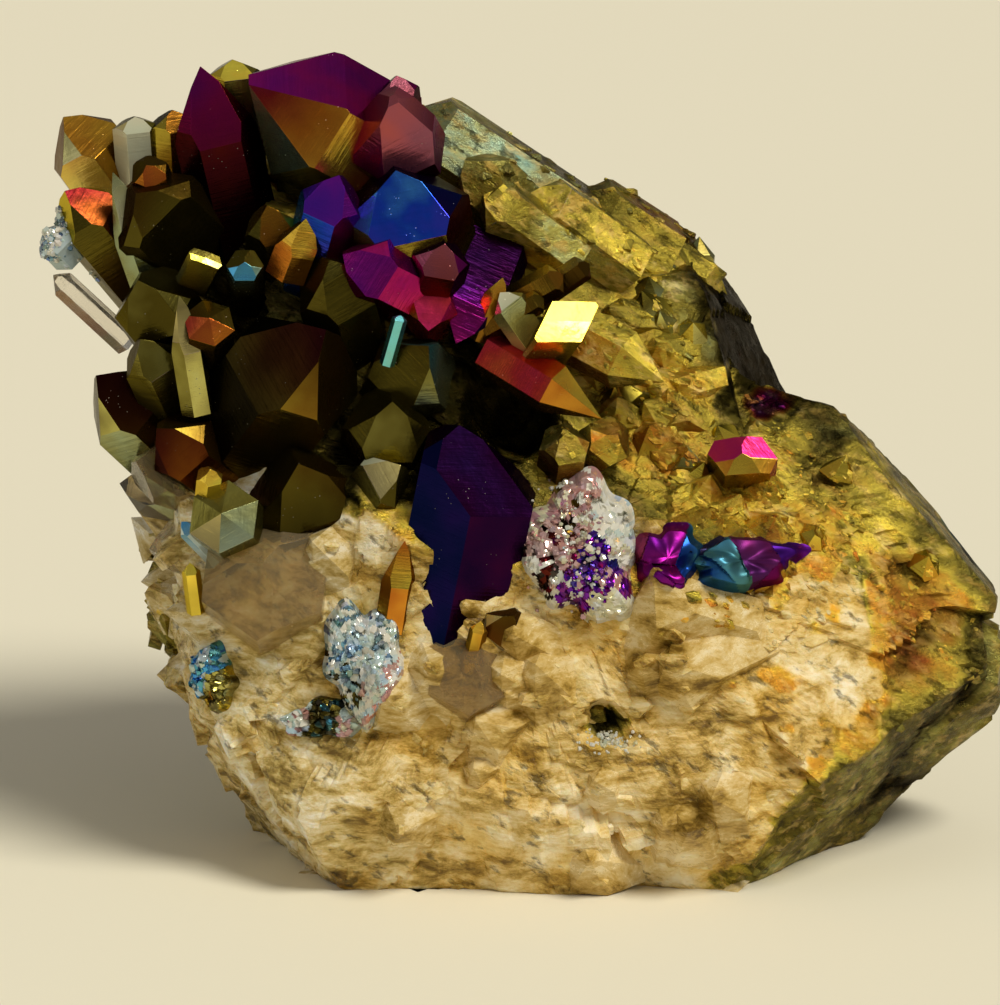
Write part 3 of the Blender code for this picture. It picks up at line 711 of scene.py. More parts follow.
def brokenRock(name, look):
    # broken quartz under a patchy film with pale flecks and painted shade in small pits; cloudy where bare
    material, tree, shader = startMaterial(name)
    position = objectPlace(tree)
    film, depth, coat, stain = carried(tree, "film", "depth", "coat", "stain")
    grit = useGroup(tree, crushedGrain, Position=position, Grain_Size=look["grain"])
    order = maths(tree, "ADD", film, maths(tree, "MULTIPLY", grit["Tint"], look["tint"]))
    # light left = (1 - depth), times the painted shade of the pits
    light = maths(tree, "SUBTRACT", 1.0, depth)
    poreShade = maths(tree, "SUBTRACT", 1.0, maths(tree, "MULTIPLY", grit["Pore"], look["poreShade"]))
    dark = maths(tree, "SUBTRACT", 1.0, maths(tree, "MULTIPLY", light, poreShade))
    colour = filmLook(tree, order, dark, position, look)
    amber = maths(tree, "MAXIMUM", maths(tree, "MULTIPLY", coat, look["amber"]), stain)
    quartz = useGroup(tree, cloudyVeils, Position=position, Amber=amber)
    # film left = cover (1 - flecks x light)
    cover = spanned(tree, maths(tree, "ADD", coat, grit["Tint"]), *look["cover"], 0.0, 1.0)
    flecks = maths(tree, "MULTIPLY", maths(tree, "MULTIPLY", grit["Fleck"], look["flecks"]), light)
    cover = maths(tree, "MULTIPLY", cover, maths(tree, "SUBTRACT", 1.0, flecks))
    # the veils stand out a little
    height = maths(tree, "ADD", grit["Height"], maths(tree, "MULTIPLY", quartz["Cloud"], look["veils"]))
    connect(tree, shader, {
        "Base Color": mixColour(tree, cover, scaled(tree, quartz["Colour"], poreShade), colour["Colour"]),
        # darker faces, painted shade among them, are made more metallic so no pale sheen lightens them
        "Metallic": maths(tree, "MULTIPLY", cover, maths(tree, "MAXIMUM", depth, look["metal"])),
        "Roughness": spanned(tree, quartz["Cloud"], *look["clouds"], look["smooth"], look["rough"]),
        "Normal": bumped(tree, height, look["bump"], look["relief"]),
        "Subsurface Weight": look["soft"],
        "Subsurface Scale": look["softDepth"],
    })
    return material


def milkyQuartz(name, look):
    # half see-through lumps with veils inside
    material, tree, shader = startMaterial(name)
    position = objectPlace(tree)
    quartz = useGroup(tree, cloudyVeils, Position=position, Amber=look["amber"])
    grit = useGroup(tree, crushedGrain, Position=position, Grain_Size=look["grain"])
    connect(tree, shader, {
        "Base Color": quartz["Colour"],
        "Metallic": 0.0,
        "Transmission Weight": look["clear"],
        "Roughness": spanned(tree, quartz["Cloud"], *look["clouds"], look["smooth"], look["rough"]),
        "Normal": bumped(tree, grit["Height"], look["bump"], look["relief"]),
    })
    return material


def clearQuartz(name, look):
    # see-through quartz with a thin tint inside
    material, tree, shader = startMaterial(name)
    position = objectPlace(tree)
    relief = useGroup(
        tree, growthLines, Lie=faceLie(tree), Position=position, Lines=look["lines"], Pits=look["pits"]
    )
    cloud = noise(tree, position, look["cloudSize"], 4.0)["Fac"]
    connect(tree, shader, {
        "Base Color": look["tint"],
        "Metallic": 0.0,
        "Transmission Weight": look["clear"],
        "Roughness": spanned(tree, cloud, *look["clouds"], look["smooth"], look["haze"]),
        "Normal": bumped(tree, relief["Height"], look["bump"], look["relief"]),
    })
    return material


# Relief and soft depth are in m; clouds are where slow noise starts and ends to change the gloss.
crystalLook = {
    "drift": 0.20, "driftSize": 190.0, "lines": 0.9, "pits": 0.6,
    "metal": 0.93, "smooth": 0.14, "rough": 0.32, "bump": 0.35, "relief": 0.00012, "clouds": (0.3, 0.7),
    "quartzDark": (0.62, 0.52, 0.36, 1), "quartzPale": (0.86, 0.82, 0.72, 1),
    "specks": (0.62, 0.58, 0.50, 1),
}
sheenLook = dict(crystalLook, smooth=0.30, rough=0.50, lines=0.3)
druseLook = dict(
    crystalLook, drift=0.14, driftSize=420.0, lines=0.3, pits=0.0, metal=0.85,
    smooth=0.06, rough=0.18, bump=0.15,
)
rockLook = {
    "grain": 900.0, "tint": 0.22, "poreShade": 0.65, "flecks": 0.62, "veils": 3.0, "drift": 0.13,
    "driftSize": 240.0, "metal": 0.72, "smooth": 0.16, "rough": 0.42, "bump": 0.5, "soft": 0.10,
    "relief": 0.0002, "softDepth": 0.002, "amber": 0.8, "cover": (0.35, 0.60), "clouds": (0.35, 0.65),
}
milkyLook = {
    "amber": 0.15, "clear": 0.20, "grain": 900.0, "bump": 0.25, "relief": 0.0002,
    "smooth": 0.10, "rough": 0.35, "clouds": (0.35, 0.65),
}
clearLook = {
    "tint": (0.95, 0.90, 0.82, 1), "clear": 0.92, "haze": 0.25, "smooth": 0.04, "cloudSize": 500.0,
    "clouds": (0.4, 0.7), "lines": 0.6, "pits": 0.3, "bump": 0.5, "relief": 0.0001,
}
smokyLook = dict(clearLook, tint=(0.66, 0.51, 0.27, 1), clear=0.85, haze=0.30)

filmOnCrystal = coatedCrystal("film on crystal", crystalLook)
filmOnDruse = coatedCrystal("film on druse", druseLook)
filmOnSheen = coatedCrystal("film on peacock sheen", sheenLook)
filmOnRock = brokenRock("film on rock", rockLook)
milkyLump = milkyQuartz("milky quartz", milkyLook)
clearPoint = clearQuartz("clear point", clearLook)
smokyPoint = clearQuartz("smoky point", smokyLook)
print("finishes made")

# Points of the rock, then each size of break: spacing, step, tilt, roundness, flatness, seed.
rockGrid = {
    "around": 520, "rings": 188, "frontShare": 1.3, "meanReach": 27.0, "batch": 4000,
    "coarse": (7.0, 0.50, 0.34, 0.035, 0.75, 21),
    "middle": (2.9, 0.20, 0.34, 0.14, 0.75, 22),
    "fine": (1.3, 0.06, 0.30, 0.30, 0.70, 23),
    "sink": 0.95,
}


def dented(points):
    # each dent is a bowl: full depth at its middle, none beyond its reach
    sink = np.zeros(len(points))
    for middle, reach, deep in dents:
        away = np.linalg.norm(points - np.asarray(middle), axis=1) / reach
        sink += deep * np.clip(1 - away ** 2, 0, 1)
    return sink


def rockSurface(ways):
    # reach of the plain rock plus three sizes of tilted flat breaks, each scaled by how
    # roughly that face broke; gives points, the relief and each break's owner
    reach, met = rockReach(ways)
    plain = ways * reach[:, None]
    grown = np.clip(cleanGap(ways) / cleanLead - cleanRelief["margin"], 0, 1)
    rough = np.minimum(faceBreaks[met], cleanRelief["least"] + cleanRelief["gain"] * grown)
    relief = np.zeros(len(ways))
    owners = []
    for size in ("coarse", "middle", "fine"):
        bump, owner = facetRelief(plain, *rockGrid[size])
        relief += bump
        owners.append(owner)
    relief -= rockGrid["sink"]
    surface = np.asarray(stone["heart"]) + ways * (reach + relief * rough)[:, None]
    return surface - ways * dented(surface)[:, None], relief, owners


# Changes of tone from facet to facet, and where a hollow starts, in mm of relief; dark is the painted shade
# added in the hollows.
rockPaint = {
    "seed": 44, "facets": 4096, "shift": 0.03, "middle": 0.5, "fine": 0.4,
    "hollow": -0.9, "slope": 0.8, "dark": 0.5, "coated": 0.3, "depth": (-0.4, 0.97),
    "stain": 1.2, "noise": ((0.5, 9.0, 51), (0.3, 3.0, 52)),
}


def rockFinish(points, relief, owners):
    # tone of the place, shifted facet by facet; painted shade darkens the hollows, which also get more stain
    chance = np.random.RandomState(rockPaint["seed"])
    shifts = chance.uniform(-1, 1, rockPaint["facets"])
    lights = chance.uniform(-0.5, 0.5, rockPaint["facets"])
    middle, fine = owners[1] % rockPaint["facets"], owners[2] % rockPaint["facets"]
    film, depth, coat = rockTone(points).T.copy()
    film = film + rockPaint["shift"] * shifts[middle]
    change = rockPaint["middle"] * lights[middle] + rockPaint["fine"] * lights[fine]
    depth = 1 - (1 - depth) * (1 + change * coat)
    # painted shade: faces below the hollow level are darkened
    low = np.clip((rockPaint["hollow"] - relief) * rockPaint["slope"], 0, 1)
    depth = np.clip(depth + rockPaint["dark"] * low * (coat > rockPaint["coated"]), *rockPaint["depth"])
    stain = noiseSum(points, rockPaint["noise"], rockPaint["stain"] * low)
    return film, depth, coat, np.clip(stain, 0, 1)


def buildRock():
    # grid of ways from the heart: rings round the outward way, closer together in front
    around, rings = rockGrid["around"], rockGrid["rings"]
    share = np.linspace(0, 1, rings + 2)[1:-1]
    polar = math.pi * share ** rockGrid["frontShare"]
    turn = np.arange(around) * 2 * math.pi / around
    side = np.sin(polar)[:, None]
    out = np.repeat(np.cos(polar)[:, None], around, axis=1)
    ways = np.stack((side * np.cos(turn), side * np.sin(turn), out), axis=-1).reshape(-1, 3)
    ways = np.concatenate((((0, 0, 1.0),), ways, ((0, 0, -1.0),)))
    points, relief, owners = rockSurface(ways)
    finish = rockFinish(points, relief, owners)
    mesh = bpy.data.meshes.new("matrix")
    mesh.from_pydata(onBase(toWorld(points)).tolist(), [], closedGrid(rings, around))
    for name, values in zip(("film", "depth", "coat", "stain"), finish):
        setAttribute(mesh, name, values, "POINT")
    return linkMesh("matrix", mesh, filmOnRock)


matrix = buildRock()
print("rock made:", len(matrix.data.polygons), "faces")

growth = {
    "tipSlope": 0.787, "tipRadius": 0.02, "minor": 0.22, "shownShare": 0.55,
    "weld": 4e-6, "sliver": 2e-6,    # m
}

# Tip, way it points, radius, length, then the tones of its outward, next and last-but-one
# side (tips above the shoulder, sides below it; "a-b" runs from a at the tip to b below).
mainCrystals = {
    "violetHorn": ((-22.0, 32.0, 9.8), (-0.20, 0.90, 0.38), 2.7, 17.0,
        "plum-maroon maroon-ember plum-maroon", "maroon-ember maroon-ember maroon-ember",
        dict(turn=4, steep=1.6)),
    "magentaRoof": ((-18.4, 30.6, 11.0), (-0.76, 0.40, 0.51), 4.4, 13.0,
        "garnet-amber magenta-plum sage", "rust-gold magenta-plum sage-olive",
        dict(turn=-10, minor=0.0, late=(0.0, 0.0, 0.2, 0.35, 0.0, 0.0),
            flats=(1.05, 1.0, 1.1, 1.2, 1.0, 1.0))),
    # bronzePost's flash tip is a painted highlight
    "bronzePost": ((-19.8, 32.8, 4.6), (-0.06, 0.93, 0.36), 1.7, 10.0, "flash-gold olive gold-ochre",
        "olive-moss moss gold-olive", dict(turn=10, steep=0.5)),
    "maroonStub": ((-15.4, 32.6, 4.0), (0.0, 0.90, 0.40), 1.4, 8.0, "ember ember ember",
        "ember ember ember", dict(turn=20, steep=0.5)),
    "plumBlock": ((-8.4, 27.6, 15.2), (-0.18, 0.28, 0.94), 3.0, 7.0, "mauve mauve-maroon mauve-plum",
        "mauve-maroon mauve-plum maroon-olive",
        dict(turn=-8, front=0.9, shift=(-0.3, 0.3), late=(0.0, 0.0, 0.3, 0.0, 0.0, 0.0))),
    "plumCap": ((-7.6, 31.4, 8.6), (-0.10, 0.90, 0.42), 1.4, 9.0, "mauve plum mauve-plum",
        "plum wine-maroon plum", dict(turn=12, steep=0.7)),
    "cobaltFace": ((-7.6, 24.2, 13.9), (-0.14, 0.78, 0.61), 4.3, 12.0, "cobalt abyss azure-cobalt",
        "ochre abyss-smoke azure-gold", dict(turn=4, steep=0.65)),
    "violetCap": ((-11.7, 23.8, 15.0), (0.22, 0.76, 0.60), 2.2, 10.0,
        "violet purple-violet violet-cobalt", "cobalt violet-plum cobalt-azure", dict(turn=-14)),
    "copperStriped": ((-13.9, 20.9, 14.5), (0.34, 0.84, 0.42), 1.5, 5.0,
        "gold-amber orange-bronze gold-amber", "amber-bronze bronze-smoke gold-orange",
        dict(turn=30, steep=1.5)),
    "brownFlank": ((-17.0, 21.7, 12.5), (-0.10, 0.74, 0.68), 1.8, 9.0, "bronze ochre-bronze moss",
        "bronze-moss bronze-moss moss", dict(turn=15)),
    "plumHollow": ((-11.4, 18.0, 16.2), (-0.70, 0.34, 0.62), 2.4, 10.0,
        "purple-plum magenta-rose plum-maroon", "plum-rose magenta-plum maroon", dict(turn=-10)),
    "roseLid": ((-4.0, 18.8, 15.4), (0.20, 0.66, 0.72), 1.9, 8.0, "mauve-maroon plum-wine mauve-plum",
        "maroon wine-maroon plum-maroon", dict(turn=10, steep=0.7)),
    "emberWedge": ((-5.2, 12.5, 15.0), (-0.05, -0.52, 0.85), 2.0, 8.0,
        "rose-crimson orange-crimson magenta-rose", "rose crimson-orange magenta-rose", dict(turn=0)),
    "indigoBlade": ((-3.2, 11.6, 14.0), (-0.26, -0.72, 0.64), 2.5, 10.0,
        "plum-wine purple-indigo indigo-abyss", "purple-wine indigo-abyss plum-wine",
        dict(turn=-6, front=0.6, steep=1.5)),
    "tealLath": ((-7.2, 13.6, 15.9), (0.26, 0.88, 0.40), 0.5, 4.0, "mint teal teal", "mint teal teal",
        dict(turn=0, steep=0.5)),
    "smokyGiant": ((-12.6, 12.5, 17.6), (0.45, 0.56, 0.70), 4.6, 15.0, "ember-pitch smoke-bronze pitch",
        "pitch smoke pitch", dict(turn=-30)),
    "greenWedge": ((-12.4, 17.6, 16.0), (-0.16, 0.62, 0.76), 2.8, 11.0, "moss smoke-moss moss-olive",
        "moss smoke moss", dict(turn=20)),
    "tealEdge": ((-5.2, 11.4, 15.0), (0.30, 0.52, 0.80), 3.1, 11.0, "smoke-moss moss-teal smoke",
        "moss teal-moss smoke-black", dict(turn=-20)),
    "darkLow": ((-7.8, 7.3, 17.0), (0.10, 0.52, 0.85), 2.9, 11.0, "moss moss-smoke smoke-moss",
        "moss-smoke moss-smoke smoke", dict(turn=12)),
    "brownFloor": ((-14.6, 2.8, 17.3), (-0.10, 0.46, 0.88), 4.6, 13.0, "smoke-pitch smoke pitch-smoke",
        "pitch-smoke smoke pitch-smoke", dict(turn=8, front=0.7)),
    "creamGreen": ((-7.2, 2.7, 17.0), (0.50, 0.52, 0.69), 2.2, 9.0, "straw-sage moss pale-sage",
        "sage-moss olive-moss sage-moss", dict(turn=-25, front=0.7)),
    "sageTable": ((-20.2, -0.8, 17.6), (-0.18, 0.26, 0.95), 2.4, 8.0, "sage-pale sage-olive straw-sage",
        "sage-olive olive sage-pale", dict(turn=-10, steep=0.3, minor=0.0)),
    "frostKnob": ((-33.2, 19.9, 8.4), (-0.50, 0.55, 0.67), 1.3, 3.0, "silver silver azure-silver",
        "silver silver azure-silver", dict(turn=6, steep=0.6)),
    # goldGlint's flash faces are a painted highlight
    "goldGlint": ((-21.0, 2.4, 17.0), (0.10, 0.70, 0.71), 0.9, 5.0, "flash gold-amber flash-gold",
        "flash-gold amber gold", dict(turn=30, steep=0.7)),
    "indigoGiant": ((-0.9, 4.9, 17.3), (0.19, 0.92, 0.33), 4.3, 18.0, "wine wine abyss",
        "wine wine-smoke abyss", dict(turn=30, steep=0.6, shift=(-0.2, -0.5))),
    "orangeSliver": ((-6.9, -2.8, 18.2), (0.14, 0.90, 0.40), 1.1, 7.0,
        "orange-ochre bronze amber-orange", "ochre-orange bronze amber-bronze",
        dict(turn=10, steep=2.4)),
    "hiddenShoulder": ((-8.4, 31.2, -2.0), (0.06, 0.96, 0.26), 5.0, 14.0, "olive moss-olive plum-olive",
        "olive moss olive", dict(turn=15, steep=0.6)),
    "amberBlade": ((7.4, 6.1, 13.9), (0.82, -0.51, 0.26), 1.7, 10.0,
        "amber-orange gold-bronze ochre-amber", "orange-crimson amber-bronze gold-crimson",
        dict(turn=14, steep=2.0, minor=0.0)),
    "yellowTable": ((4.9, 13.2, 15.4), (0.27, 0.36, 0.89), 1.6, 7.0, "lemon lemon lemon",
        "gold-ochre ochre-bronze gold-straw",
        dict(turn=40, steep=0.06, minor=0.0, flats=(1.0, 1.0, 1.8, 1.0, 1.0, 1.8))),
    "bronzeBar": ((4.6, 16.6, 12.9), (0.84, 0.46, 0.28), 1.1, 6.0, "bronze-smoke smoke gold-bronze",
        "smoke-bronze smoke gold-smoke", dict(turn=0, steep=0.5)),
    "bronzeStub": ((6.5, 17.5, 11.7), (0.80, 0.54, 0.26), 0.9, 5.0, "smoke smoke lime-bronze",
        "smoke smoke lime-bronze", dict(turn=10, steep=0.5)),
    "bronzeRail": ((3.2, 14.9, 13.6), (0.84, 0.46, 0.28), 0.8, 5.0, "smoke-bronze smoke gold-bronze",
        "smoke-bronze smoke gold-bronze", dict(turn=-6, steep=0.5)),
    "paleFacet": ((0.0, 15.3, 13.8), (-0.55, 0.78, 0.30), 1.3, 6.0, "pale-sage lime-olive sage-lime",
        "sage-lime olive-lime lime-straw", dict(turn=10, front=0.7, steep=0.8)),
    "copperShard": ((0.2, 16.4, 13.4), (0.36, 0.88, 0.30), 0.8, 5.0, "amber-orange bronze gold-rust",
        "orange-bronze bronze gold-bronze", dict(turn=24, steep=1.5)),
    "fuchsiaCap": ((17.7, 3.6, 13.0), (0.0, 0.34, 0.94), 1.6, 6.0, "gold-orange gold-rose orange-gold",
        "amber-gold rose gold-amber", dict(turn=4, steep=0.3, flats=(0.9, 1.5, 1.3, 0.9, 1.5, 1.2))),
    # footGlint's and edgeGlint's flash faces are painted highlights
    "footGlint": ((-1.4, -8.6, 18.6), (0.20, 0.86, 0.47), 0.6, 4.0, "flash gold flash",
        "flash-gold gold gold", dict(turn=0)),
    "edgeGlint": ((-22.6, -4.4, 14.0), (-0.10, 0.90, 0.42), 0.6, 4.0, "flash gold flash",
        "flash-gold gold gold", dict(turn=0)),
    "paleStripe": ((-23.2, -1.4, 14.4), (-0.62, 0.66, 0.42), 0.7, 5.0, "azure-silver silver silver",
        "silver silver azure-silver", dict(turn=0)),
    "goldCorner": ((-32.4, 28.6, 3.4), (-0.56, 0.78, 0.30), 2.8, 15.0,
        "amber-bronze bronze-ochre lime-pale", "amber-bronze bronze amber-straw",
        dict(turn=32, steep=0.9)),
    "redCorner": ((-32.0, 22.9, 8.8), (-0.54, 0.66, 0.52), 2.3, 13.0,
        "garnet-gold gold-olive moss-smoke", "garnet-gold gold-olive moss-smoke", dict(turn=42)),
    "paleStep": ((-27.0, 28.5, 5.6), (-0.06, 0.92, 0.38), 1.5, 8.0, "pale-sage olive straw-pale",
        "pale olive pale", dict(turn=8, steep=0.4)),
    "brownStep": ((-24.2, 29.0, 6.0), (-0.04, 0.92, 0.38), 1.6, 10.0,
        "bronze-amber maroon-bronze ochre-bronze", "amber-bronze moss ochre-bronze",
        dict(turn=24, steep=0.6)),
    "copperBump": ((-25.9, 24.7, 11.2), (-0.20, 0.50, 0.84), 1.3, 7.0,
        "rust-bronze bronze-smoke orange-bronze", "bronze-smoke smoke rust-bronze",
        dict(turn=10, steep=0.6)),
    "oliveSlab": ((-26.6, 22.6, 12.2), (-0.46, 0.44, 0.77), 3.3, 12.0, "smoke-moss smoke moss-smoke",
        "moss-smoke smoke moss-smoke", dict(turn=-2, front=0.6, steep=0.7)),
    "paleStrip": ((-28.4, 24.2, 10.2), (-0.30, 0.89, 0.34), 1.4, 11.0, "sage-pale olive sage",
        "sage olive-moss sage", dict(turn=10, steep=3.0)),
    "blueChip": ((-18.6, 17.5, 14.6), (0.0, 0.40, 0.92), 1.2, 7.0, "azure teal-moss azure-cobalt",
        "teal-moss moss azure-moss", dict(turn=0, steep=0.4)),
    # lemonGlint's flash faces are a painted highlight
    "lemonGlint": ((-21.4, 17.8, 14.9), (0.25, 0.40, 0.88), 0.9, 5.0, "flash lime-olive flash",
        "flash-gold moss flash-lime",
        dict(turn=14, steep=0.10, minor=0.0, flats=(0.5, 1.3, 1.2, 0.6, 1.3, 1.2))),
    "oliveHood": ((-26.4, 16.2, 13.6), (-0.34, 0.52, 0.79), 2.9, 12.0, "moss olive-moss moss-smoke",
        "moss moss moss", dict(turn=-24)),
    "paleLath": ((-23.3, 15.0, 15.8), (-0.14, 0.93, 0.34), 1.1, 9.0, "lime-straw olive straw-lime",
        "straw-lime olive-moss lime-olive", dict(turn=16, steep=3.0)),
    "rustTop": ((-21.1, 13.4, 16.2), (0.06, 0.46, 0.89), 1.7, 10.0, "rust rust-smoke rust",
        "smoke smoke smoke", dict(turn=-10, steep=0.35, minor=0.0)),
    "oliveFan": ((-26.2, 11.9, 13.8), (-0.30, 0.70, 0.65), 1.9, 10.0, "olive-moss moss olive",
        "moss moss-smoke olive-moss", dict(turn=16)),
    "leftShield": ((-29.6, 9.3, 10.8), (-0.60, 0.58, 0.55), 3.1, 13.0,
        "ember-smoke moss-olive lime-olive", "smoke olive-moss lime-sage", dict(turn=12)),
    "amberDark": ((-25.0, 5.4, 14.4), (-0.58, 0.42, 0.70), 2.5, 10.0, "ember-bronze smoke ember-smoke",
        "maroon-bronze smoke-bronze ember-smoke", dict(turn=-18)),
    "brownWedge": ((1.0, -8.2, 18.4), (0.30, 0.40, 0.86), 1.6, 7.0,
        "smoke-bronze ochre-bronze straw-gold", "bronze-pale smoke bronze-pale", dict(turn=0)),
}

rockSlabs = {
    "ridgeGreen": ((-8.0, 28.3, 1.2), (-0.83, 0.55, 0.06), 3.9, 16.0, "sage olive sage-lime",
        "sage lime-moss sage-lime", dict(turn=20, steep=0.7)),
    "ridgeOlive": ((-2.6, 25.2, 7.4), (-0.60, 0.60, 0.52), 2.3, 9.0, "lime-gold olive sage-lime",
        "lime-gold olive lime-olive", dict(turn=-16, steep=0.8)),
    "ridgeGold": ((-1.2, 22.6, 9.4), (-0.72, 0.50, 0.48), 1.9, 9.0, "gold-lime olive straw-gold",
        "gold-lime olive-ochre lime-gold", dict(turn=10, steep=0.7)),
    "ridgeStraw": ((2.2, 22.8, 6.4), (-0.76, 0.54, 0.36), 2.2, 10.0, "straw-lime olive-lime lime-olive",
        "lime-straw olive gold-lime", dict(turn=24, steep=0.7)),
    "ridgeBronze": ((4.6, 22.4, 0.0), (-0.80, 0.50, 0.33), 3.2, 9.0,
        "olive-ochre moss-olive lime-olive", "olive-ochre moss-bronze lime-ochre",
        dict(turn=16, steep=0.7)),
    "ochreSlab": ((12.0, 8.8, 12.4), (0.84, -0.46, 0.28), 2.0, 8.0, "ochre-gold ochre-lime gold-straw",
        "ochre-amber ochre-bronze gold-ochre", dict(turn=12, steep=1.4, minor=0.0)),
    "ochreLeft": ((4.9, 5.2, 15.4), (0.10, 0.62, 0.78), 1.7, 6.0, "ochre bronze-ochre smoke-bronze",
        "ochre-bronze moss smoke", dict(turn=24, steep=0.8)),
    "ochreRight": ((8.6, 4.9, 13.9), (0.50, 0.30, 0.81), 1.7, 7.0,
        "amber-ochre gold-ochre orange-ochre", "amber-bronze bronze-moss amber-moss",
        dict(turn=26, steep=0.6)),
}

smokyCrystals = {
    "smokyEdge": ((-26.6, 3.0, 12.6), (-0.62, 0.22, 0.75), 2.2, 9.0, dict(turn=10)),
    "brownWindow": ((-17.2, -4.4, 17.6), (-0.06, 0.30, 0.95), 4.4, 10.0, dict(turn=24, steep=0.5)),
    "paleWindow": ((-2.0, -11.6, 18.9), (0.10, 0.30, 0.95), 3.0, 8.0, dict(turn=-12, steep=0.5)),
}

clearCrystals = {
    "clearCorner": ((-33.0, 16.8, 6.0), (-0.66, 0.62, 0.42), 0.9, 8.0, dict(turn=16)),
    "edgeUpper": ((-28.0, 1.4, 8.0), (-0.86, 0.16, 0.48), 1.8, 8.0, dict(turn=0)),
    "edgeMiddle": ((-25.8, -3.4, 8.6), (-0.86, -0.04, 0.50), 1.9, 8.0, dict(turn=20)),
    "edgeLower": ((-24.0, -8.6, 9.4), (-0.84, -0.10, 0.53), 1.7, 7.0, dict(turn=-15)),
}


sineSquared = 0.75    # of 60 degrees


def sixCorners(sides, normals, slack=1.0):
    # no side lies beyond where its neighbours meet; each corner is where two sides 60 degrees
    # apart cross, (own - next / 2) / sin^2 60 along one and the like along the other
    for _ in range(2):
        sides = np.minimum(sides, slack * (np.roll(sides, 1, axis=-1) + np.roll(sides, -1, axis=-1)))
    following = np.roll(sides, -1, axis=-1)
    toward = (sides - following / 2) / sineSquared
    beyond = (following - sides / 2) / sineSquared
    return toward[..., None] * normals + beyond[..., None] * np.roll(normals, -1, axis=-2)


def crystalRings(
    tip, pointsTo, radius, length, turn=0.0, front=1.0, steep=1.0, shift=(0.0, 0.0), minor=growth["minor"],
    late=(0.0,) * 6, flats=(1.0,) * 6
):
    # at each depth below the tip a side lies off the axis by the smaller of its full distance
    # and one that grows from the tip; late sides start further out, flats are broader sides
    axis = unit(pointsTo)
    guide = np.array((0.0, 1.0, 0.0)) if abs(axis[2]) > 0.95 else np.array((0.0, 0.0, 1.0))
    along = unit(guide - guide.dot(axis) * axis)
    across = np.cross(axis, along)
    angles = np.radians(turn + 60.0 * np.arange(6))
    normals = np.outer(np.cos(angles), along) + np.outer(np.sin(angles), across)
    full = radius * np.array(flats) * np.where(np.arange(6) == 0, front, 1.0)
    lean = radius * (shift[0] * np.cos(angles) + shift[1] * np.sin(angles))
    late = radius * (minor * (np.arange(6) % 2) + np.array(late))
    slope = growth["tipSlope"] / steep
    start = growth["tipRadius"] + late
    shoulders = (full - lean - start) / slope
    shown = length * growth["shownShare"]
    depths = np.unique(np.round(np.concatenate(((0.0, shown, length), shoulders, late / slope)), 4))
    depths = depths[(depths >= 0.0) & (depths <= length)]
    rings = []
    for depth in depths:
        corners = sixCorners(np.minimum(full, lean + start + slope * depth), normals)
        rings.append(np.asarray(tip) - axis * depth + corners)
    return np.array(rings), depths, shoulders


def toneRun(text):
    # "a-b" as two rows, at the tip and further down; one name alone is both
    names = text.split("-")
    run = np.array((tones[names[0]], tones[names[-1]]))
    run[1, 0] = nearOrder(run[1, 0], run[0, 0])
    return run


def crystalMesh(name, material, grown):
    # quads between the rings of each crystal, with closed ends; corner values run down each face
    points, faces, values, lies = [], [], [], []
    for rings, depths, shoulders, tips, sides in grown:
        base = sum(len(block) for block in points)
        points.append(rings.reshape(-1, 3))
        index = base + np.arange(len(rings) * 6).reshape(-1, 6)
        shown = depths[-1] * growth["shownShare"]
        for side in range(6):
            half = np.linalg.norm(rings[:, side] - rings[:, side - 1], axis=1) / 2
            for ring in range(len(rings) - 1):
                span = [ring, ring + 1, ring + 1, ring]
                share = np.clip(depths[span] / shown, 0, 1)[:, None]
                above = (depths[ring] + depths[ring + 1]) / 2 < shoulders[side]
                run = tips[side] if above else sides[side]
                faces.append(index[span, [side - 1, side - 1, side, side]])
                values.append(run[0] * (1 - share) + run[1] * share)
                lies.append(np.stack((half[span] * (-1, -1, 1, 1), -depths[span]), axis=1))
        for cap, run, depth in ((index[0], tips[0][0], 0.0), (index[-1][::-1], sides[0][1], depths[-1])):
            faces.append(cap)
            values.append(np.repeat(run[None], 6, axis=0))
            lies.append(((0.0, -depth),) * 6)
    mesh = bpy.data.meshes.new(name)
    world = onBase(toWorld(np.concatenate(points)))
    mesh.from_pydata(world.tolist(), [], [face.tolist() for face in faces])
    setFaces(mesh, np.concatenate(values), np.concatenate(lies))
    clean = bmesh.new()
    clean.from_mesh(mesh)
    bmesh.ops.remove_doubles(clean, verts=clean.verts[:], dist=growth["weld"])
    bmesh.ops.dissolve_degenerate(clean, edges=clean.edges[:], dist=growth["sliver"])
    clean.to_mesh(mesh)
    clean.free()
    mesh.shade_flat()
    return linkMesh(name, mesh, material)


def sixTones(three, rest):
    # outward, next and last-but-one sides as given; the three sides away from view take the rest
    outward, onward, backward = (toneRun(text) for text in three.split())
    hidden = toneRun(rest)
    return (outward, onward, hidden, hidden, hidden, backward)


def buildMainCrystals(name, table, material):
    grown = []
    for tip, pointsTo, radius, length, tips, sides, form in table.values():
        hidden = sides.split()[1]
        rings = crystalRings(tip, pointsTo, radius, length, **form)
        grown.append((*rings, sixTones(tips, hidden), sixTones(sides, hidden)))
    return crystalMesh(name, material, grown)


def buildClearCrystals(name, table, material):
    plain = (toneRun("bare"),) * 6
    grown = [(*crystalRings(*row, **form), plain, plain) for *row, form in table.values()]
    return crystalMesh(name, material, grown)


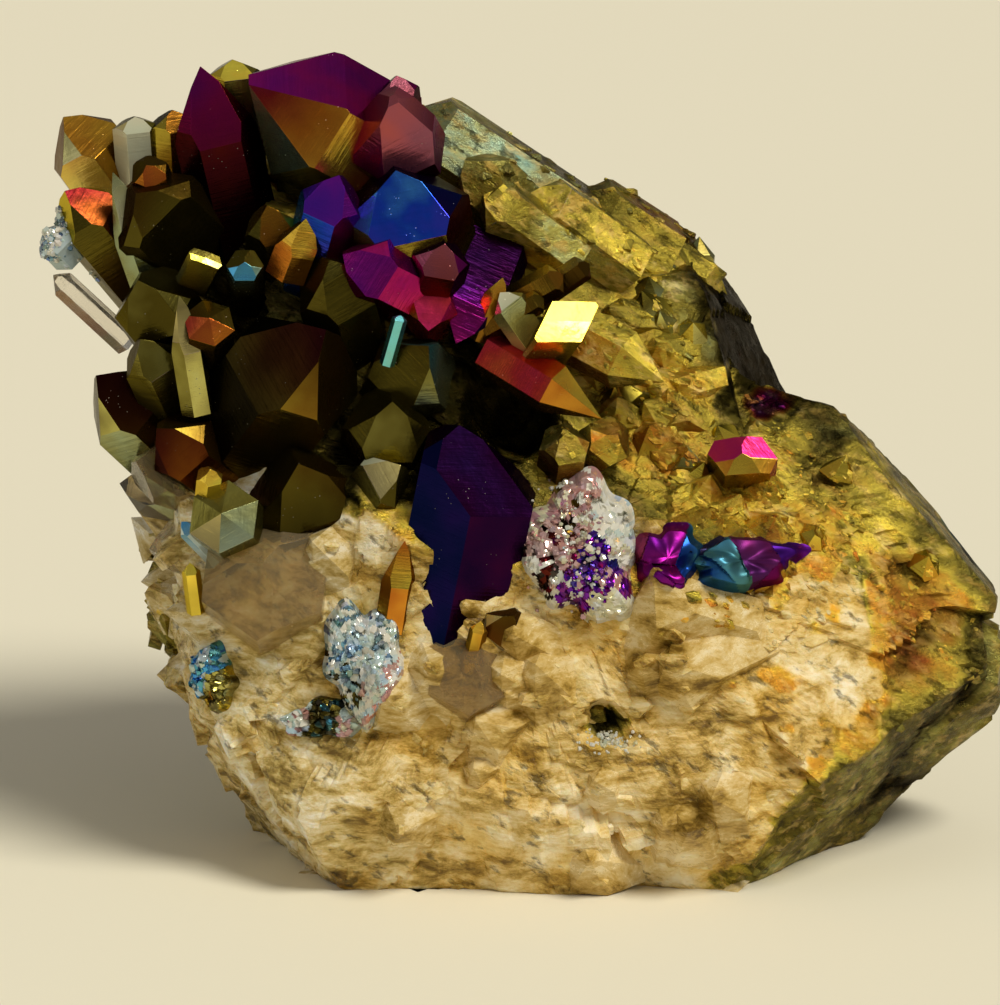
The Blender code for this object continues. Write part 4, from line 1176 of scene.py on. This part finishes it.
# Belts of small crystals and slabs: kind, count, middle seen from the heart, spread, radius
# from and to, how far out, how flat, drift, and the tones that they take.
smallBelts = (
    ("slab", 18, (0.20, 0.93, 0.10), 0.22, 2.4, 4.0, 0.02, 0.45, (-0.50, 0.20, 0.50), "rock"),
    ("crystal", 8, (0.22, 0.93, 0.10), 0.24, 1.2, 2.0, 0.30, 0.80, (-0.50, 0.30, 0.30),
        "lime olive moss sage"),
    ("slab", 18, (0.44, 0.66, 0.60), 0.28, 2.4, 4.0, 0.10, 0.45, (-0.50, 0.40, 0.40), "rock"),
    ("crystal", 12, (0.46, 0.66, 0.58), 0.34, 1.2, 2.0, 0.35, 0.80, (-0.40, 0.40, 0.10),
        "gold ochre moss lime"),
    ("slab", 16, (0.80, 0.06, 0.58), 0.32, 2.6, 4.4, 0.06, 0.45, (0.40, 0.40, 0.50), "rock"),
    ("crystal", 10, (0.82, 0.10, 0.56), 0.26, 1.0, 1.6, 0.25, 0.80, (0.10, 0.30, 0.10), "amber gold ochre"),
    ("milky", 30, (0.0, -0.56, 0.82), 0.60, 3.6, 6.0, 0.04, 0.45, (-0.40, 0.30, 0.60), "rock"),
    ("milky", 8, (-0.10, -0.46, 0.86), 0.46, 1.2, 2.4, 0.15, 0.60, (-0.30, 0.20, 0.40), "rock"),
    ("milky", 14, (-0.95, -0.12, 0.20), 0.40, 1.4, 2.6, 0.50, 0.90, (-0.10, 0.30, 0.20), "rock"),
    ("slab", 28, (-0.16, 0.22, -0.96), 0.70, 3.4, 6.0, 0.04, 0.45, (-0.40, 0.40, -0.40), "rock"),
    ("crystal", 10, (-0.30, 0.36, -0.88), 0.60, 1.6, 2.8, 0.40, 0.90, (-0.20, 0.40, 0.0),
        "gold purple olive cobalt"),
    ("crystal", 10, (-0.60, 0.76, -0.10), 0.34, 1.4, 2.4, 0.90, 0.90, (-0.20, 0.50, 0.10),
        "olive bronze moss ochre"),
)
smallOnes = {
    "seed": 11, "paint": 71, "length": 2.4, "tilt": 0.35, "seat": 0.4, "turn": 30.0, "clear": 0.9,
    "changes": (0.02, 0.12),
}


def smallTones(names, own, paint):
    # the rock's own tone with small shifts, or two of the named tones by turns
    if names == "rock":
        changes = paint.normal(size=(6, 2)) * smallOnes["changes"]
        return [np.array((own, own)) + (shift, shade, 0.0) for shift, shade in changes]
    picked = paint.choice(names.split(), 4)
    return [toneRun(f"{picked[side % 2]}-{picked[2 + side % 2]}") for side in range(6)]


def buildSmallCrystals():
    # each stands along the way its broken face looks, leans by the belt's drift and a little chance
    chance = np.random.RandomState(smallOnes["seed"])
    paint = np.random.RandomState(smallOnes["paint"])
    heart = np.asarray(stone["heart"])
    grown = {"slab": [], "crystal": [], "milky": []}
    for kind, count, middle, spread, smallest, largest, standing, front, drift, names in smallBelts:
        ways = unit(unit(middle) + spread * chance.uniform(-1.0, 1.0, (count, 3)))
        reach, met = rockReach(ways)
        places = heart + ways * reach[:, None]
        tilts = chance.uniform(-smallOnes["tilt"], smallOnes["tilt"], (count, 3))
        radii = chance.uniform(smallest, largest, count)
        turns = chance.uniform(-smallOnes["turn"], smallOnes["turn"], count)
        crowding = (cleanGap(ways) < smallOnes["clear"] * radii) | nearPit(places, radii)
        each = zip(places, faceNormals[met], tilts, radii, turns, rockTone(places), crowding)
        for place, face, tilt, radius, turn, own, skip in each:
            axis = unit(face + drift + tilt)
            tip = place + face * radius * standing + axis * radius * smallOnes["seat"]
            length = radius * smallOnes["length"]
            rings = crystalRings(tip, axis, radius, length, turn=turn, front=front, minor=0.0)
            runs = smallTones(names, own, paint)
            if not skip:
                grown[kind].append((*rings, runs, runs))
    return (
        crystalMesh("slabs", filmOnRock, grown["slab"]),
        crystalMesh("small_crystals", filmOnCrystal, grown["crystal"]),
        crystalMesh("milky_lumps", milkyLump, grown["milky"]),
    )


crystals = buildMainCrystals("grown_crystals", mainCrystals, filmOnCrystal)
ridge = buildMainCrystals("ridge_slabs", rockSlabs, filmOnRock)
clearOnes = buildClearCrystals("clear_crystals", clearCrystals, clearPoint)
smokyOnes = buildClearCrystals("smoky_crystals", smokyCrystals, smokyPoint)
slabs, smallCrystals, milkyLumps = buildSmallCrystals()
print("crystals made:", len(crystals.data.polygons) + len(smallCrystals.data.polygons), "faces")


def turned(vectors):
    # (right, up, out) directions in world axes
    return (toWorld(vectors) - toWorld((0.0, 0.0, 0.0))) / stone["mm"]


def facePlace(world):
    # a world place in mm back to (right, up, out)
    lean = math.radians(stone["lean"])
    behind = world[:, 1] + stone["middle"][1]
    height = world[:, 2] - stone["faceHeight"]
    up = height * math.cos(lean) + behind * math.sin(lean)
    out = height * math.sin(lean) - behind * math.cos(lean)
    return np.stack((world[:, 0] + stone["middle"][0], up, out), axis=1)


def carrierTree(rough, smooth):
    # the surfaces that chips and druse sit on, in mm, and how many faces the rough ones have
    places, faces, counts = [], [], []
    for piece in rough + smooth:
        first = len(places)
        places += [vertex.co / stone["mm"] for vertex in piece.data.vertices]
        faces += [[first + corner for corner in polygon.vertices] for polygon in piece.data.polygons]
        counts.append(len(faces))
    return BVHTree.FromPolygons(places, faces), counts[len(rough) - 1]


# Crusts are fans of rings; sizes in mm, shares of the reach, and waves of the edge as
# (how many, how deep).
crustShape = {
    "rings": 34, "around": 120, "sink": 0.4, "under": 1.4, "sharp": 0.2, "above": 12.0, "even": 24,
    "waves": ((2, 0.06), (3, 0.10), (5, 0.08), (9, 0.05)), "phase": 6.3, "facets": 5.0, "spread": 1.2,
    "uneven": 0.3, "amount": 0.04,
}
crust = {
    "facing": (0.0, 0.0, 1.0), "thick": 0.45, "facet": 0.34, "tilt": 0.45, "rim": 0.12,
    "shift": 0.03, "shade": 0.14, "reach": 1.6, "dome": 0.3,
}
sheen = dict(crust, thick=1.0, dome=0.8, facet=2.2, tilt=0.16, rim=0.25, shift=0.02, shade=0.08)
# Each crust: middle (right, up, out), reach right and up, then zones: a place and its tones.
druseCrusts = (
    dict(crust, seed=1, middle=(5.9, -3.4, 15.9), size=(4.4, 5.5), facet=0.38, dome=2.0, zones=(
        ((8.0, 0.4), "frost frost silver"), ((9.4, -1.4), "frost silver frost"),
        ((9.2, -4.2), "frost frost pale"), ((6.2, 1.4), "dust dust frost"),
        ((4.4, -0.8), "dust pale dust smoke"), ((4.2, -3.6), "dust dust maroon"),
        ((7.0, -4.6), "violet indigo violet"), ((8.2, -5.6), "purple violet dust"),
        ((5.3, -7.0), "violet purple frost"), ((2.8, -5.6), "dust frost maroon"),
        ((2.8, -7.8), "frost frost pale"), ((7.4, -7.6), "pale frost pale"),
    )),
    dict(crust, seed=2, middle=(-9.9, -11.4, 16.6), size=(2.9, 4.5), facet=0.30, dome=1.4, zones=(
        ((-10.2, -8.4), "foil silver frost"), ((-9.9, -11.2), "silver foil silver frost"),
        ((-8.4, -13.4), "frost silver dust"), ((-11.4, -12.8), "foil silver frost moss"),
    )),
    dict(
        crust, seed=3, middle=(-21.2, -12.8, 11.8), size=(2.3, 2.5), dome=1.4, facing=(-0.4, 0.0, 0.92),
        zones=(((-22.2, -12.0), "azure teal azure silver"), ((-19.8, -14.2), "lime gold olive")),
    ),
    dict(crust, seed=4, middle=(-13.1, -15.8, 15.3), size=(3.4, 1.5), facing=(-0.3, 0.0, 0.95), zones=(
        ((-15.4, -15.2), "silver dust frost silver"), ((-12.8, -15.8), "moss deepTeal moss moss"),
        ((-10.8, -16.4), "silver dust pale"),
    )),
)
sheenCrusts = (
    dict(sheen, seed=5, middle=(12.2, -4.0, 15.8), size=(2.6, 2.7), zones=(
        ((10.0, -5.4), "lagoon"), ((11.6, -2.2), "plum"), ((13.6, -4.4), "marine"), ((11.8, -5.6), "royal"),
        ((12.4, -3.8), "royal"),
    )),
    dict(sheen, seed=8, middle=(17.6, -4.3, 15.2), size=(5.2, 2.1), facing=(0.2, 0.1, 0.97), zones=(
        ((15.2, -3.2), "abyss"), ((15.8, -5.4), "lagoon"), ((18.2, -3.2), "plum"), ((21.0, -3.6), "royal"),
        ((19.2, -5.0), "plum"),
    )),
)


def draped(places, facing, reach):
    # how far in front of each place the stone lies, seen along the facing, evened out
    starts = toWorld(places + crustShape["above"] * facing) / stone["mm"]
    way = Vector(-turned(facing))
    far = [carriers.ray_cast(Vector(start), way)[3] for start in starts]
    rise = np.array([0.0 if distance is None else crustShape["above"] - distance for distance in far])
    ring = np.clip(rise[1:], -reach, reach).reshape(crustShape["rings"], crustShape["around"])
    for _ in range(crustShape["even"]):
        ring = (np.roll(ring, 1, axis=1) + np.roll(ring, -1, axis=1) + 2 * ring) / 4
        ring[1:-1] = (ring[:-2] + ring[2:] + 2 * ring[1:-1]) / 4
    return np.concatenate((ring[:1].mean(axis=1), ring.ravel()))


def crustFacets(look, flat, size, chance):
    # the highest of many tilted facets, each falling away with the distance from its seed
    facet = look["facet"]
    count = int(crustShape["facets"] * size.prod() / facet ** 2)
    seeds = chance.uniform(-crustShape["spread"], crustShape["spread"], (count, 2)) * size
    heights = chance.uniform(-crustShape["uneven"], crustShape["uneven"], count) * facet
    tilts = chance.normal(size=(count, 2)) * look["tilt"]
    away = flat[:, None] - seeds
    spread = (away ** 2).sum(axis=2) / facet
    level = heights + (away * tilts).sum(axis=2) - spread
    owner = level.argmax(axis=1)
    rows = np.arange(len(flat))
    return level[rows, owner] + (1 - crustShape["sharp"]) * spread[rows, owner], seeds, owner


def layCrust(look):
    # rings round the middle draped on the stone, each place raised by the thickness, the dome
    # and the facets; a facet takes a tone of the zone it is nearest to
    chance = np.random.RandomState(look["seed"])
    size = np.asarray(look["size"])
    facing = unit(look["facing"])
    across = unit(np.cross((0.0, 1.0, 0.0), facing))
    upward = np.cross(facing, across)
    turn = np.arange(crustShape["around"]) * 2 * math.pi / crustShape["around"]
    phase = crustShape["phase"]
    waves = [deep * np.sin(times * turn + chance.uniform(0, phase)) for times, deep in crustShape["waves"]]
    edge = 1.0 + sum(waves)
    share = np.arange(1, crustShape["rings"] + 1) / crustShape["rings"]
    ring = np.stack((np.cos(turn), np.sin(turn)), axis=1) * edge[:, None]
    flat = np.concatenate((((0.0, 0.0),), (share[:, None, None] * ring).reshape(-1, 2))) * size
    place = look["middle"] + flat[:, :1] * across + flat[:, 1:] * upward
    surface = place + draped(place, facing, look["reach"])[:, None] * facing
    raised, seeds, owner = crustFacets(look, flat, size, chance)
    inner = 1 - np.concatenate(((0.0,), np.repeat(share, crustShape["around"])))
    fade = np.clip(inner / look["rim"], 0, 1)
    height = look["thick"] + look["dome"] * inner * (2 - inner) + raised
    lift = (height + crustShape["sink"]) * fade - crustShape["sink"]
    points = np.concatenate((surface + lift[:, None] * facing, surface[:1] - facing * crustShape["under"]))
    seedPlace = (look["middle"] + seeds[:, :1] * across + seeds[:, 1:] * upward)[:, :2]
    zonePlace = np.array([zone[0] for zone in look["zones"]])
    zone = ((seedPlace[:, None] - zonePlace) ** 2).sum(axis=2).argmin(axis=1)
    choices = [np.array([tones[name] for name in names.split()]) for _, names in look["zones"]]
    value = np.array([choices[index][chance.randint(len(choices[index]))] for index in zone])
    value = value + chance.normal(size=value.shape) * (look["shift"], look["shade"], crustShape["amount"])
    return points, np.append(flat, ((0.0, 0.0),), axis=0), value[np.append(owner, owner[0])]


def buildCrusts(name, table, material):
    # the crusts of a table as one piece, each closed underneath
    plain = closedGrid(crustShape["rings"], crustShape["around"])
    laid = [layCrust(look) for look in table]
    faces = []
    for number in range(len(laid)):
        first = number * len(laid[0][0])
        faces += [[first + corner for corner in face] for face in plain]
    points, flat, value = (np.concatenate(part) for part in zip(*laid))
    mesh = bpy.data.meshes.new(name)
    mesh.from_pydata(toWorld(points).tolist(), [], faces)
    owner = np.repeat([face[1] for face in faces], [len(face) for face in faces])
    setFaces(mesh, inRange(value[owner]), flat[np.concatenate(faces)])
    mesh.shade_flat()
    return linkMesh(name, mesh, material)


carriers, rockFaces = carrierTree((matrix, slabs, smallCrystals, milkyLumps), ())
druseCrust = buildCrusts("druse_crusts", druseCrusts, filmOnDruse)
peacock = buildCrusts("peacock_sheen", sheenCrusts, filmOnSheen)
print("crusts made:", len(druseCrust.data.polygons) + len(peacock.data.polygons), "faces")

# Belts of chips by their middle seen from the heart, or of druse near a place.
chipClearance = 2.2    # mm that chips keep from the faces that broke clean
chipStart = 60.0       # mm from the heart where the search for the rock's surface starts
# What chips and druse share: how near sides stay to where their neighbours meet, how tall
# against the usual, changes of the amount of film, and of order and darkness face by face.
grainShape = {"slack": 0.98, "tall": (0.7, 1.3), "amount": 0.05, "faceShift": 0.02, "faceShade": 0.08}
chip = {
    "up": 1.0, "drift": (-0.15, 0.15, 0.1), "loose": 0.20, "uneven": 0.45, "tall": 0.25, "length": 0.8,
    "stand": 0.04, "shift": 0.02, "shade": 0.10, "flow": (0.8, -0.6, 0.0), "drawn": 1.7,
}
chipBelts = (
    dict(chip, count=260, middle=(0.22, 0.93, 0.10), spread=0.34, radius=(0.2, 0.7)),
    dict(chip, count=600, middle=(0.46, 0.66, 0.58), spread=0.42, radius=(0.15, 0.6)),
    dict(chip, count=1100, middle=(0.82, 0.06, 0.56), spread=0.34, radius=(0.15, 0.5)),
    dict(
        chip, count=260, middle=(0.0, -0.56, 0.82), spread=0.60, radius=(0.3, 1.0), stand=0.05,
        flow=(1.0, 0.0, 0.0),
    ),
    dict(chip, count=300, middle=(-0.95, -0.12, 0.20), spread=0.45, radius=(0.4, 1.5)),
    dict(chip, count=900, middle=(-0.10, 0.20, -0.97), spread=0.85, radius=(0.4, 2.0)),
    dict(chip, count=240, middle=(-0.60, 0.76, -0.10), spread=0.34, radius=(0.5, 1.6)),
)
druse = {
    "up": 1.0, "drift": (0.0, 0.0, 0.0), "loose": 0.9, "uneven": 0.8, "tall": 1.1, "length": 1.2,
    "stand": 0.8, "shift": 0.04, "shade": 0.15, "flow": (1.0, 0.0, 0.0), "drawn": 1.0,
    "facing": (0.0, 0.1, 1.0), "above": 12.0,
}
druseBelts = (
    dict(
        druse, count=300, near=(-32.6, 19.4, 7.6), size=(0.7, 1.0, 0.0), radius=(0.1, 0.3),
        tones="silver frost foil", facing=(-0.7, 0.0, 0.7),
    ),
    dict(
        druse, count=160, near=(5.4, -2.4, 15.8), size=(1.3, 2.0, 0.0), radius=(0.1, 0.28),
        tones="dust frost pale dust",
    ),
    dict(
        druse, count=60, near=(6.2, -6.0, 16.4), size=(1.0, 0.8, 0.0), radius=(0.12, 0.32),
        tones="violet purple frost",
    ),
    dict(
        druse, count=120, near=(7.8, -17.4, 16.0), size=(0.9, 0.4, 0.0), radius=(0.08, 0.2),
        tones="frost pale",
    ),
)


def settle(starts, ways, faces):
    # each line runs in until it meets the stone; lines that miss, or meet a face past the
    # allowed ones, are left out
    met = [carriers.ray_cast(Vector(start), Vector(way)) for start, way in zip(starts, ways)]
    kept = [hit for hit in met if hit[0] is not None and hit[2] < faces]
    return np.array([hit[0] for hit in kept]), np.array([hit[1] for hit in kept])


def beltPlaces(belt, chance):
    # druse comes down near its place on anything; chips only on the rock, off its clean faces
    count = belt["count"]
    if "near" in belt:
        jitter = chance.normal(size=(count, 3)) * belt["size"]
        starts = toWorld(np.asarray(belt["near"]) + jitter) / stone["mm"]
        ways = np.repeat(-unit(turned(belt["facing"]))[None], count, axis=0)
        return settle(starts - ways * belt["above"], ways, math.inf)
    seen = unit(unit(belt["middle"]) + belt["spread"] * chance.uniform(-1.0, 1.0, (count, 3)))
    ways = -turned(seen)
    places, facing = settle(toWorld(stone["heart"]) / stone["mm"] - ways * chipStart, ways, rockFaces)
    bare = cleanGap(unit(facePlace(places) - stone["heart"])) > chipClearance
    return places[bare], facing[bare]


def beltPoints(belt, places, facing, chance):
    # an apex, a shoulder ring and a root ring each, with irregular sides, drawn out along the flow
    count = len(places)
    loose = belt["loose"] * chance.normal(size=(count, 3))
    axes = unit(facing * belt["up"] + turned(belt["drift"]) + loose)
    smallest, largest = belt["radius"]
    radii = smallest + (largest - smallest) * chance.uniform(0, 1, count) ** 2
    tips = places + axes * (radii * belt["stand"])[:, None]
    guide = turned(belt["flow"])
    along = unit(guide - (guide * axes).sum(axis=1)[:, None] * axes)
    across = np.cross(axes, along)
    angles = chance.uniform(0, math.pi / 3, count)[:, None] + math.pi / 3 * np.arange(6)
    normals = np.cos(angles)[..., None] * along[:, None] + np.sin(angles)[..., None] * across[:, None]
    sides = radii[:, None] * chance.uniform(belt["uneven"], 1.0, (count, 6))
    corners = sixCorners(sides, normals, grainShape["slack"])
    corners += (corners * along[:, None]).sum(axis=2)[..., None] * along[:, None] * (belt["drawn"] - 1)
    tall = radii * belt["tall"] * chance.uniform(*grainShape["tall"], count)
    shoulder = tips[:, None] - (axes * tall[:, None])[:, None] + corners
    root = shoulder - (axes * (radii * belt["length"])[:, None])[:, None]
    return np.concatenate((tips[:, None], shoulder, root), axis=1)


def beltTones(belt, places, chance):
    # one of the belt's tones each, or the rock's own, with small shifts
    if "tones" in belt:
        picked = np.array([tones[tone] for tone in belt["tones"].split()])
        value = picked[chance.randint(0, len(picked), len(places))]
    else:
        value = rockTone(facePlace(places))
    return value + chance.normal(size=value.shape) * (belt["shift"], belt["shade"], grainShape["amount"])


def scatter(name, material, belts, seed):
    # many six-sided points in one mesh: six tip faces, six sides and a floor each
    chance = np.random.RandomState(seed)
    allPoints, allValues = [], []
    for belt in belts:
        places, facing = beltPlaces(belt, chance)
        print(name, "belt keeps", len(places), "of", belt["count"])
        allPoints.append(beltPoints(belt, places, facing, chance))
        allValues.append(beltTones(belt, places, chance))
    points = np.concatenate(allPoints)
    value = np.concatenate(allValues)
    total, each = points.shape[:2]
    first = each * np.arange(total)[:, None, None]
    side = np.arange(6)
    onward = (side + 1) % 6
    fan = np.stack((np.zeros(6, int), 1 + side, 1 + onward), axis=1)[None] + first
    wall = np.stack((1 + side, 7 + side, 7 + onward, 1 + onward), axis=1)[None] + first
    floor = (12 - side)[None, None] + first
    sizes = np.repeat((3, 4, 6), (total * 6, total * 6, total))
    corners = np.concatenate((fan.ravel(), wall.ravel(), floor.ravel()))
    flat = points.reshape(-1, 3)
    mesh = bpy.data.meshes.new(name)
    mesh.vertices.add(total * each)
    mesh.vertices.foreach_set("co", onBase(flat * stone["mm"]).ravel())
    mesh.loops.add(len(corners))
    mesh.loops.foreach_set("vertex_index", corners)
    mesh.polygons.add(len(sizes))
    mesh.polygons.foreach_set("loop_start", np.concatenate(((0,), np.cumsum(sizes)[:-1])))
    mesh.update(calc_edges=True)
    shift = chance.normal(size=(total, each)) * grainShape["faceShift"]
    shade = chance.normal(size=(total, each)) * grainShape["faceShade"]
    values = value[:, None] + np.stack((shift, shade, np.zeros((total, each))), axis=-1)
    values = np.concatenate((values[:, :6].reshape(-1, 3), values[:, 6:12].reshape(-1, 3), values[:, 12]))
    setFaces(mesh, np.repeat(inRange(values), sizes, axis=0), flat[corners, :2])
    mesh.shade_flat()
    return linkMesh(name, mesh, material)


carriers, rockFaces = carrierTree(
    (matrix, slabs, smallCrystals, milkyLumps, ridge), (crystals, druseCrust, peacock)
)
chips = scatter("broken_chips", filmOnRock, chipBelts, 81)
druseField = scatter("druse", filmOnDruse, druseBelts, 82)
print("chips and druse made:", len(chips.data.polygons) + len(druseField.data.polygons), "faces")

bevels = {"width": 0.00005, "least": math.radians(12)}
for piece in (crystals, ridge, smallCrystals, slabs, milkyLumps, clearOnes, smokyOnes):
    bevel = piece.modifiers.new("worn edge", "BEVEL")
    bevel.width = bevels["width"]
    bevel.segments = 1
    bevel.limit_method = "ANGLE"
    bevel.angle_limit = bevels["least"]

for piece in (
    matrix, crystals, ridge, clearOnes, smokyOnes, slabs, smallCrystals, milkyLumps,
    druseCrust, peacock, chips, druseField,
):
    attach(piece, "root")
    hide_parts(stone["node"])

studio = {
    "floorSize": 4.0, "floorColour": (0.84, 0.79, 0.62, 1), "floorRoughness": 0.7,
    "world": (0.85, 0.82, 0.76, 1), "worldPower": 0.30,
    "distance": 0.600, "frameWidth": 0.075, "sensor": 36.0, "elevation": 15.0,
}


def buildFloor():
    material, tree, shader = startMaterial("pale floor")
    connect(tree, shader, {"Base Color": studio["floorColour"], "Roughness": studio["floorRoughness"]})
    half = studio["floorSize"] / 2
    corners = [(-half, -half, 0), (half, -half, 0), (half, half, 0), (-half, half, 0)]
    mesh = bpy.data.meshes.new("floor")
    mesh.from_pydata(corners, [], [(0, 1, 2, 3)])
    linkMesh("floor", mesh, material)


def aimed(name, data, place, way):
    # something that looks down its own -Z, put at a place and turned to look that way
    thing = bpy.data.objects.new(name, data)
    thing.location = place
    thing.rotation_euler = Vector(way).to_track_quat("-Z", "Y").to_euler()
    bpy.context.scene.collection.objects.link(thing)
    return thing


def addWindow(name, place, aim, size, power, colour):
    lamp = bpy.data.lights.new(name, "AREA")
    lamp.size = size
    lamp.energy = power
    lamp.color = colour
    aimed(name, lamp, place, Vector(aim) - Vector(place))


def addSun(name, way, spread, power, colour):
    # a wide soft sun, shining from the given way
    lamp = bpy.data.lights.new(name, "SUN")
    lamp.angle = math.radians(spread)
    lamp.energy = power
    lamp.color = colour
    thing = bpy.data.objects.new(name, lamp)
    thing.rotation_euler = Vector(way).to_track_quat("Z", "Y").to_euler()
    bpy.context.scene.collection.objects.link(thing)


def addCamera():
    # looks along the lean of the face, far enough away that the sides stay nearly parallel
    middle = Vector(toWorld((0.0, 0.0, 0.0)))
    tilt = math.radians(studio["elevation"])
    view = bpy.data.cameras.new("camera")
    view.sensor_width = studio["sensor"]
    view.lens = studio["sensor"] * studio["distance"] / studio["frameWidth"]
    place = middle + Vector((0, -math.cos(tilt), math.sin(tilt))) * studio["distance"]
    bpy.context.scene.camera = aimed("camera", view, place, middle - place)


def setWorld():
    world = bpy.data.worlds.new("soft room")
    world.use_nodes = True
    background = world.node_tree.nodes["Background"]
    background.inputs["Color"].default_value = studio["world"]
    background.inputs["Strength"].default_value = studio["worldPower"]
    bpy.context.scene.world = world
    bpy.context.scene.view_settings.view_transform = "Standard"    # colours straight, with no film curve


buildFloor()
addSun("daylight", (0.45, -0.35, 0.82), 25.0, 2.6, (1.0, 0.96, 0.87))
addWindow("left window", (-0.45, -0.25, 0.30), (0, 0, 0.03), 0.30, 0.25, (0.94, 0.97, 1.0))
addCamera()
setWorld()
print("studio made")
